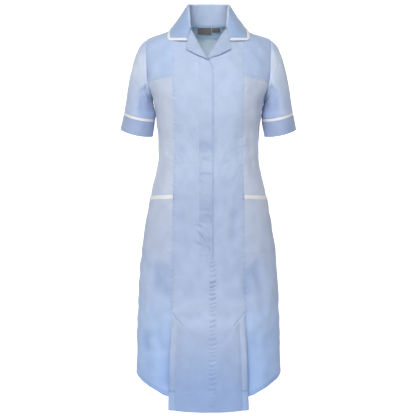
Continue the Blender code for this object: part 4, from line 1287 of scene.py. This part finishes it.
def add_centre_front(side):
    """A centre front panel, and on the wearer's right the placket that closes over it."""
    centre = centre_front_places(side)

    def shape(points, away):
        height = free_edge_shape(points, away) + slant_shape(points, side)
        return height + closing_band(points, away)

    # Painted shade: along the slanted stitching, at the trims' ends, beside the pressed strip, and in the
    # puckers down the front
    def deep(points, away):
        below, within = slant_below(points, side)
        shade = np.maximum(0.8 * within * bump(below, -1.5, 2.0), trim_end_painted_shade(points, away))
        shade = np.maximum(shade, free_edge_painted_shade(points, away))
        return np.maximum(shade, band_painted_shade(points, away))

    sewn = [(2, HEM_STITCH), (1, STITCH_IN, PLEAT_TOP_Z - 66, PLEAT_TOP_Z - 14)]
    panel(side_name("front_centre", side), centre, (CLOSING, PRINCESS_FOLD, HEM, HEM), 5 + side, CENTRE_TONES,
          grid=CENTRE_GRID, hem=True, shape=shape, deep=deep,
          seams=(None, mirrored_turn(at_princess, side)), sewn=sewn)
    if side < 0:
        low = PRINCESS_ROWS.index(POCKET_LOW_Z)
        wide = RIGHT_COLUMNS.index(PLACKET_INNER_X) + 2
        panel("placket", centre[low:-PLACKET_SHORT, :wide], (*PLACKET_EDGES, PLAIN), 21, CENTRE_TONES,
              grid=SMALL_GRID,
              out=CLOTH + LAYER_GAP, thick=PLACKET_THICK, shape=placket_shape, deep=placket_painted_shade,
              sewn=[(index, STITCH_IN) for index in range(3)])


def add_side_front(side):
    """A side front panel with its pocket, the pocket's white trim, and the yoke above."""
    over = CLOTH + LAYER_GAP
    seed = 5 + side
    plain = side_front_places(side)
    panel(side_name("front_side", side), side_panel_sheet(side), (PRINCESS_SEAM, SIDE_SEAM, NARROW_HEM, SEAM),
          seed + 20, SIDE_TONES, shape=pleat_shape, deep=pleat_painted_shade,
          seams=(mirrored_turn(at_side_front_seam, side), None), sewn=[(2, STITCH_IN)])
    low, middle, top = (PRINCESS_ROWS.index(row) for row in (POCKET_LOW_Z, TRIM_LOW_Z, TRIM_TOP_Z))
    panel(side_name("pocket", side), plain[low : middle + 1], (*POCKET_EDGES, PLAIN), seed + 30, SIDE_TONES,
          out=over, shape=pocket_shape, deep=side_painted_shade)
    add_trim(side, plain[middle : top + 1], over, seed)
    panel(side_name("front_yoke", side), yoke_places(side), (SEAM, SEAM, STITCHED, SEAM), seed + 40,
          YOKE_TONES, seams=(mirrored_turn(at_princess, side), mirrored_turn(at_armhole, side)),
          sewn=[(2, STITCH_IN)])


def add_trim(side, places, over, seed):
    """The white trim over the pocket's top: a rounded bias strip."""
    sheet = refined(places, [PLAIN_STEPS] * 4, SMALL_GRID)
    turn, z = sheet[..., 0], sheet[..., 1]
    points, up = form(turn, z), normal(turn, z)
    relief, _ = edge_relief(points, ((Edge(0.8),),) * 4, seed)
    outer = points + up * (over + TRIM_THICK - TRIM_SINK + relief + body_folds(points))[..., None]
    name = side_name("pocket_trim", side)
    made = wall(name + "_cloth", outer, outer - up * CLOTH)
    dressed(made, "piping_cloth", [name], WHITE, mottle=0.02)


def back_painted_shade(points, _):
    """The back panel's top is lightened as painted light for its inside, which shows through the neck, so its
    outside gets painted shade there.
    """
    return BACK_OUTSIDE_PAINTED_SHADE * ramp(points[..., 2], -200, -70)


def add_back():
    """The back panels, and the facing inside the back of the neck."""
    for side in (-1, 1):
        seams = (mirrored_turn(at_back_princess, side), mirrored_turn(at_back_side, side))
        panel(side_name("back_side", side), side_back_places(side), (SEAM, SEAM, NARROW_HEM, SEAM), 55 + side,
              SIDE_TONES, grid=BACK_GRID, deep=side_painted_shade, seams=seams, sewn=[(2, STITCH_IN)])
    back = centre_back_places()
    seams = (at_back_princess, lambda z: 2 * math.pi - at_back_princess(z))
    panel("back_centre", back, (SEAM, SEAM, HEM, HEM), 61, BACK_TONES,
          grid=BACK_GRID, hem=True, deep=back_painted_shade,
          seams=seams, sewn=[(2, HEM_STITCH)])
    inside = SHOULDER_COLUMNS - 1
    panel("back_neck_facing", back[-FACING_ROWS:, inside:-inside], (PLAIN, PLAIN, HEM, PLAIN), 63,
          INSIDE_TONES, out=-LAYER_GAP - CLOTH, folds=0.3, sewn=[(2, FACING_STITCH)])


def sleeve_relief(share, around, seed):
    """Heights of the sleeve's folds, in millimetres round and down it."""
    u, v = around / (2 * math.pi) * SLEEVE_ROUND, share * SLEEVE_LONG
    total = 0.5 * unevenness(u, v, 45, seed) + 0.14 * unevenness(u, v, 15, seed + 1)
    for fold in SLEEVE_FOLDS:
        for lap in (-SLEEVE_ROUND, 0, SLEEVE_ROUND):
            start = (fold.turn0 * SLEEVE_ROUND + lap, fold.share0 * SLEEVE_LONG)
            end = (fold.turn1 * SLEEVE_ROUND + lap, fold.share1 * SLEEVE_LONG)
            total += fold_height(fold, u, v, start, end)
    return total


def tucked_under(points, around):
    """1 where the sleeve turns in below the fold that runs from the underarm, on the side by the body."""
    x, z = points[..., 0], points[..., 2]
    line = TUCK_Z - (x - TUCK_X) * TUCK_SLOPE
    turn = np.abs(around / (2 * math.pi) - 0.5)
    inner = 1 - ramp(x, TUCK_X + TUCK_WIDE - TUCK_SOFT, TUCK_X + TUCK_WIDE)
    return inner * ramp(line - z, 0, TUCK_SOFT), turn


def add_sleeve(side):
    """The sleeve, its white piping and its cuff."""
    around = np.linspace(0, 2 * math.pi, SLEEVE_FINE, endpoint=False)
    even = np.linspace(SLEEVE_HEAD[-1], SLEEVE_TAIL[0], SLEEVE_ROWS)[1:-1]
    shares = np.concatenate([SLEEVE_HEAD, even, SLEEVE_TAIL])
    rows = np.stack([sleeve_point(around, share) for share in shares])
    out = unit_normals(rows, True)
    if out[len(rows) // 2, 0, 0] < 0:
        out = -out
    u, v = np.broadcast_arrays(around[None], shares[:, None])
    down, lap = lengths_along(rows, 0), lengths_along(rows, 1)
    left = down[-1:] - down
    tucked, from_inside = tucked_under(rows, u)
    relief = sleeve_relief(v, u, 71 + side) - TUCKED_UNDER * tucked * ramp(from_inside, 0.04, 0.12)
    relief *= ramp(down, 0, 14) * ramp(left, 0, 24)
    for distance, pucker in ((down, 0.7), (left, 0.5)):
        relief -= 1.1 * bump(distance, 0, SEAM_WIDE)
        relief += pucker * waviness(lap, 3 + side) * np.exp(-distance / 10) * ramp(distance, 0, 2)
    edge = armhole_point(around)
    edge[..., 0] -= SLEEVE_CLEAR * 0.9
    rows = rows + (edge - rows[0]) * np.exp(-down / 1.6)[..., None]
    # Painted shade by the sleeve's seams, where it turns under by the body, and in the troughs of its folds
    shade = np.maximum(0.25 * np.exp(-np.minimum(down, left) / SEAM_NEAR), TUCKED_PAINTED_SHADE * tucked)
    shade += np.clip(-FOLD_PAINTED_SHADE * relief * (1 - tucked), 0, 0.5)
    outer = rows + out * (CLOTH / 2 + relief)[..., None]
    name = side_name("sleeve", side)
    made = wall(name + "_cloth", mirrored(outer, side), mirrored(outer - out * THIN, side), True, shade)
    dressed(made, "dress_cloth", [name], SLEEVE_TONES)
    long = math.hypot(CUFF_HEM.x - CUFF_TOP.x, CUFF_HEM.z - CUFF_TOP.z)
    add_band(side, "sleeve_piping", "piping_cloth", WHITE, (0, PIPING_TALL), TRIM_THICK, 0.8, False)
    add_band(side, "cuff", "dress_cloth", CUFF_TONES, (PIPING_TALL, long), CUFF_THICK, 0.35, True)


def add_band(side, node, slot, tones, span, thick, bulge, stitched):
    """A band round the sleeve between two distances below the cuff's top, rounded at its edges."""
    start, end = span
    long = math.hypot(CUFF_HEM.x - CUFF_TOP.x, CUFF_HEM.z - CUFF_TOP.z)
    around = np.linspace(0, 2 * math.pi, SLEEVE_FINE, endpoint=False)
    rim = np.array(BAND_RIM)
    even = np.linspace(start + rim[-1], end - rim[-1], max(3, int((end - start) / SMALL_GRID)))[1:-1]
    depths = np.concatenate([start + rim, even, end - rim[::-1]])
    rings = np.stack([
        (1 - depth / long) * cuff_ring(CUFF_TOP, around) + depth / long * cuff_ring(CUFF_HEM, around)
        for depth in depths
    ])
    normals = unit_normals(rings, True)
    if normals[0, 0, 0] < 0:
        normals = -normals
    across = 2 * (depths[:, None] - start) / (end - start) - 1
    height = bulge * (np.sqrt(1 - across**4) - 1) + np.zeros((1, len(around)))
    if stitched:
        along = lengths_along(rings, 1)
        low = end - depths[:, None]
        height += 0.25 * waviness(along, 5 + side) * np.exp(-low / 9)
        height -= STITCH_DIP * bump(low, STITCH_IN, STITCH_WIDE)
        height += 0.6 * unevenness(along, low + 0 * along, 40, 8 + side)
    face = rings + normals * (thick / 2 + height)[..., None]
    back = face - normals * max(thick * 0.7, THIN)
    name = side_name(node, side)
    made = wall(name + "_cloth", mirrored(face, side), mirrored(back, side), True)
    dressed(made, slot, [name], tones)


def add_collar():
    """The collar, its front corners rounded, with a white binding round its edge and up to the notches."""
    half_turns = np.concatenate([FRONT_TURNS, np.linspace(0.062, 1, 86)])
    shares = np.concatenate([
        np.linspace(0, STAND_SHARE, 9), np.linspace(STAND_SHARE, FALL_SHARE, 14)[1:],
        np.linspace(FALL_SHARE, 0.93, 22)[1:], FALL_SHARES,
    ])
    half = np.array([[collar_point(turn, share) for turn in half_turns] for share in shares])
    away = lengths_along(half[-1:], 1)[0]
    fall = lengths_along(half, 0)[-1]
    cut = CORNER_ROUND - np.sqrt(CORNER_ROUND**2 - np.clip(CORNER_ROUND - away, 0, None) ** 2)
    for column in range(len(FRONT_TURNS)):
        squeeze = 1 - cut[column] / fall[column]
        for row, share in enumerate(shares):
            limit = min(share, FALL_SHARE) + max(share - FALL_SHARE, 0) * squeeze
            half[row, column] = collar_point(half_turns[column], limit)
    points = np.concatenate([half, mirrored(half[:, -2::-1], -1)], axis=1)
    out = unit_normals(points, False)
    if out[-1, points.shape[1] // 2, 1] < 0:
        out = -out
    along, down = lengths_along(points, 1), lengths_along(points, 0)
    left = down[-1:] - down
    relief = 0.35 * unevenness(along, down, 26, 31) + 0.2 * waviness(along, 4, 8) * np.exp(-left / 12)
    relief -= 0.7 * bump(down, STAND_SEAM, 1.3)
    relief += 0.35 * waviness(along, 6, 5) * np.exp(-down / 7)
    relief *= ramp(left, 0, 4)
    outer = points + out * (COLLAR_THICK / 2 + relief)[..., None]
    inner = points + out * (relief - COLLAR_THICK / 2)[..., None]
    # Painted shade over the collar's fall, and along its neck seam
    fallen = ramp(shares, STAND_SHARE + 0.06, FALL_SHARE + 0.04)[:, None]
    shade = np.maximum(FALL_PAINTED_SHADE * fallen, 0.5 * np.exp(-down / SEAM_NEAR)) + 0 * along
    made = wall("collar_cloth", outer, inner, shade=shade)
    dressed(made, "dress_cloth", ["collar"], COLLAR_TONES)
    add_binding(points, out, shares)


def add_binding(points, out, shares):
    """A bias binding over the collar's edge: up one front end to the notch, along it, and up the other."""
    notch = int(np.searchsorted(shares, MIDDLE_SHARE)) - 1
    line, normals = (
        np.concatenate([values[notch:-1, 0], values[-1], values[notch:-1, -1][::-1]])
        for values in (points, out)
    )
    along = np.concatenate([[0], np.cumsum(np.linalg.norm(np.diff(line, axis=0), axis=-1))])
    at = np.linspace(0, along[-1], round(along[-1] / BINDING_STEP))
    line, normals = (
        np.stack([np.interp(at, along, values[:, axis]) for axis in range(3)], axis=-1)
        for values in (line, normals)
    )
    heading = unit(np.gradient(line, axis=0))
    for _ in range(4):
        heading[1:-1] = (heading[:-2] + 2 * heading[1:-1] + heading[2:]) / 4
    inward = unit(np.cross(unit(normals), heading))
    middle = points.shape[1] // 2
    if inward[len(line) // 2] @ (points[-12, middle] - points[-1, middle]) < 0:
        inward = -inward
    squares = squares_of(*points.shape[:2])[1]
    surface = BVHTree.FromPolygons(points.reshape(-1, 3).tolist(), squares.tolist())
    rings = np.zeros((len(line), len(BINDING), 3))
    for spot, (start, into, up) in enumerate(zip(line, inward, unit(normals))):
        for corner, (reach, high) in enumerate(BINDING):
            place, facing = start + into * BINDING_WIDE * reach, up
            if reach > 0.3:
                place, facing = (np.array(found) for found in surface.find_nearest(Vector(place))[:2])
                facing = facing * (1 if facing @ up > 0 else -1)
            rings[spot, corner] = place + facing * high * BINDING_THICK
    index, squares = squares_of(*rings.shape[:2], ring=True)
    faces = squares.tolist() + [index[0].tolist(), index[-1, ::-1].tolist()]
    flat = np.stack([lengths_along(rings, 0), lengths_along(rings, 1)], axis=-1).reshape(-1, 2) * MM
    made = add_mesh("collar_piping_cloth", rings.reshape(-1, 3), faces, flat)
    nodes = ["collar_piping", "collar_end_piping_left", "collar_end_piping_right"]
    dressed(made, "piping_cloth", nodes, WHITE, mottle=0.02)


def add_lapel(side):
    """A lapel: the front facing, turned back on the chest from the roll line."""
    roll = LAPEL_ROLL if side < 0 else LEFT_LAPEL_ROLL
    tuck = 0.0 if side < 0 else LEFT_TUCK
    heights = np.linspace(roll[0].z, roll[-1].z, LAPEL_ROWS)
    left = np.stack([smooth(roll, "x")(heights), heights], axis=-1)
    right = np.linspace(LAPEL_CORNER, LAPEL_NOTCH, LAPEL_ROWS)
    shares = np.array([row.share for row in LAPEL_LIFT])
    low = left[0] + shares[:, None] * (right[0] - left[0])
    low[:, 1] -= LAPEL_BOW * np.sin(math.pi * shares)
    top = left[-1] + shares[:, None] * (right[-1] - left[-1])
    flat = between_edges(left, right, low, top, shares)
    turn = turn_of(flat[..., 0], flat[..., 1])
    lift = np.array([row.height for row in LAPEL_LIFT]) + np.zeros(turn.shape)
    sheet = np.stack([side * turn, flat[..., 1], lift], axis=-1)

    def shape(points, away):
        curl = LAPEL_CURL * np.exp(-away[2] / 7) * ramp(away[0], 2, 14)
        return curl - tuck * ramp(-points[..., 2], 60, 74)

    # A painted shadow line along the lapel's low edge, and lighter painted shade along its outer edge
    edges = (PLAIN, (Edge(0.35, 0.2, 0.4),), (Edge(0.0, 0.3, 1.0),), PLAIN)
    panel(side_name("lapel", side), sheet, edges, 81 + side, LAPEL_TONES, out=LAYER_GAP, folds=0.3,
          grid=SMALL_GRID, thin=LAPEL_THIN, shape=shape)


def add_label(name, left, top, size):
    """A bare label on the back neck facing, sewn round its edge."""
    x = np.linspace(left, left + size[0], LABEL_COLUMNS)[None]
    z = np.linspace(top - size[1], top, LABEL_ROWS)[:, None]
    x, z = np.broadcast_arrays(x, z)
    places = places_of(turn_of(x, z, back=True) % (2 * math.pi), z)
    sheet = refined(places[:, ::-1], [LABEL_STEPS] * 4, SMALL_GRID)
    turn, z = sheet[..., 0], sheet[..., 1]
    points, up = form(turn, z), normal(turn, z)
    edge = np.min(distances(points), axis=0)
    sunk = 0.25 * bump(edge, 1.4, 0.5) + 0.12 * unevenness(points[..., 0], z, 14, 91)
    inner = points - up * (LABEL_DEPTH + LABEL_THICK - sunk)[..., None]
    made = wall(name + "_cloth", inner + up * LABEL_THIN, inner)
    dressed(made, "label_tape", [name], TAUPE, roughness=0.7, weave=0.6, mottle=0.06)


def add_camera():
    data = bpy.data.cameras.new("camera")
    data.lens, data.sensor_width = CAMERA_LENS, CAMERA_SENSOR
    made = bpy.data.objects.new("camera", data)
    made.location = CAMERA_AT
    made.rotation_euler = (math.pi / 2 - CAMERA_DOWN, 0, 0)
    bpy.context.scene.collection.objects.link(made)
    bpy.context.scene.camera = made


def add_light(name, place, size, watts):
    data = bpy.data.lights.new(name, "AREA")
    data.energy, data.size = watts, size
    made = bpy.data.objects.new(name, data)
    made.location = place
    made.rotation_euler = (Vector(AIM) - Vector(place)).to_track_quat("-Z", "Y").to_euler()
    bpy.context.scene.collection.objects.link(made)


def add_floor():
    """A pale floor that curves up far behind the dress. It glows from there on, like a studio's backdrop."""
    points = [(x, y, FLOOR_Z + z) for y, z in FLOOR_PROFILE for x in (-FLOOR_WIDE, FLOOR_WIDE)]
    faces = [(2 * i, 2 * i + 1, 2 * i + 3, 2 * i + 2) for i in range(len(FLOOR_PROFILE) - 1)]
    mesh = bpy.data.meshes.new("floor")
    mesh.from_pydata(points, [], faces)
    mesh.shade_smooth()
    made = bpy.data.objects.new("floor", mesh)
    bpy.context.scene.collection.objects.link(made)
    look = bpy.data.materials.new("pale_floor")
    look.use_nodes = True
    nodes, links = look.node_tree.nodes, look.node_tree.links
    shader = nodes["Principled BSDF"]
    shader.inputs["Base Color"].default_value = (0.92, 0.92, 0.92, 1)
    shader.inputs["Roughness"].default_value = 0.95
    shader.inputs["Specular IOR Level"].default_value = 0.0
    shader.inputs["Emission Color"].default_value = (1, 1, 1, 1)
    place = nodes.new("ShaderNodeTexCoord")
    parts = nodes.new("ShaderNodeSeparateXYZ")
    glow = nodes.new("ShaderNodeMapRange")
    glow.inputs["From Min"].default_value = GLOW_FROM
    glow.inputs["From Max"].default_value = GLOW_TO
    glow.inputs["To Max"].default_value = BACKDROP_GLOW
    links.new(place.outputs["Object"], parts.inputs[0])
    links.new(parts.outputs["Y"], glow.inputs["Value"])
    links.new(glow.outputs[0], shader.inputs["Emission Strength"])
    mesh.materials.append(look)


def add_studio():
    scene = bpy.context.scene
    scene.view_settings.view_transform = "Standard"
    scene.view_settings.look = "None"
    scene.world = bpy.data.worlds.new("studio")
    scene.world.use_nodes = True
    sky = scene.world.node_tree.nodes["Background"]
    sky.inputs["Color"].default_value = (*SKY, 1)
    sky.inputs["Strength"].default_value = SKY_STRENGTH
    add_light("key", KEY_AT, KEY_SIZE, KEY_WATTS)
    add_light("fill", FILL_AT, FILL_SIZE, FILL_WATTS)
    add_floor()


add_camera()
for side in (-1, 1):
    add_centre_front(side)
    add_side_front(side)
    add_sleeve(side)
    add_lapel(side)
add_back()
add_label("neck_label", LABEL_X, LABEL_Z, LABEL_SIZE)
add_label("size_label", SIZE_LABEL_X, LABEL_Z, SIZE_LABEL_SIZE)
add_collar()
add_studio()
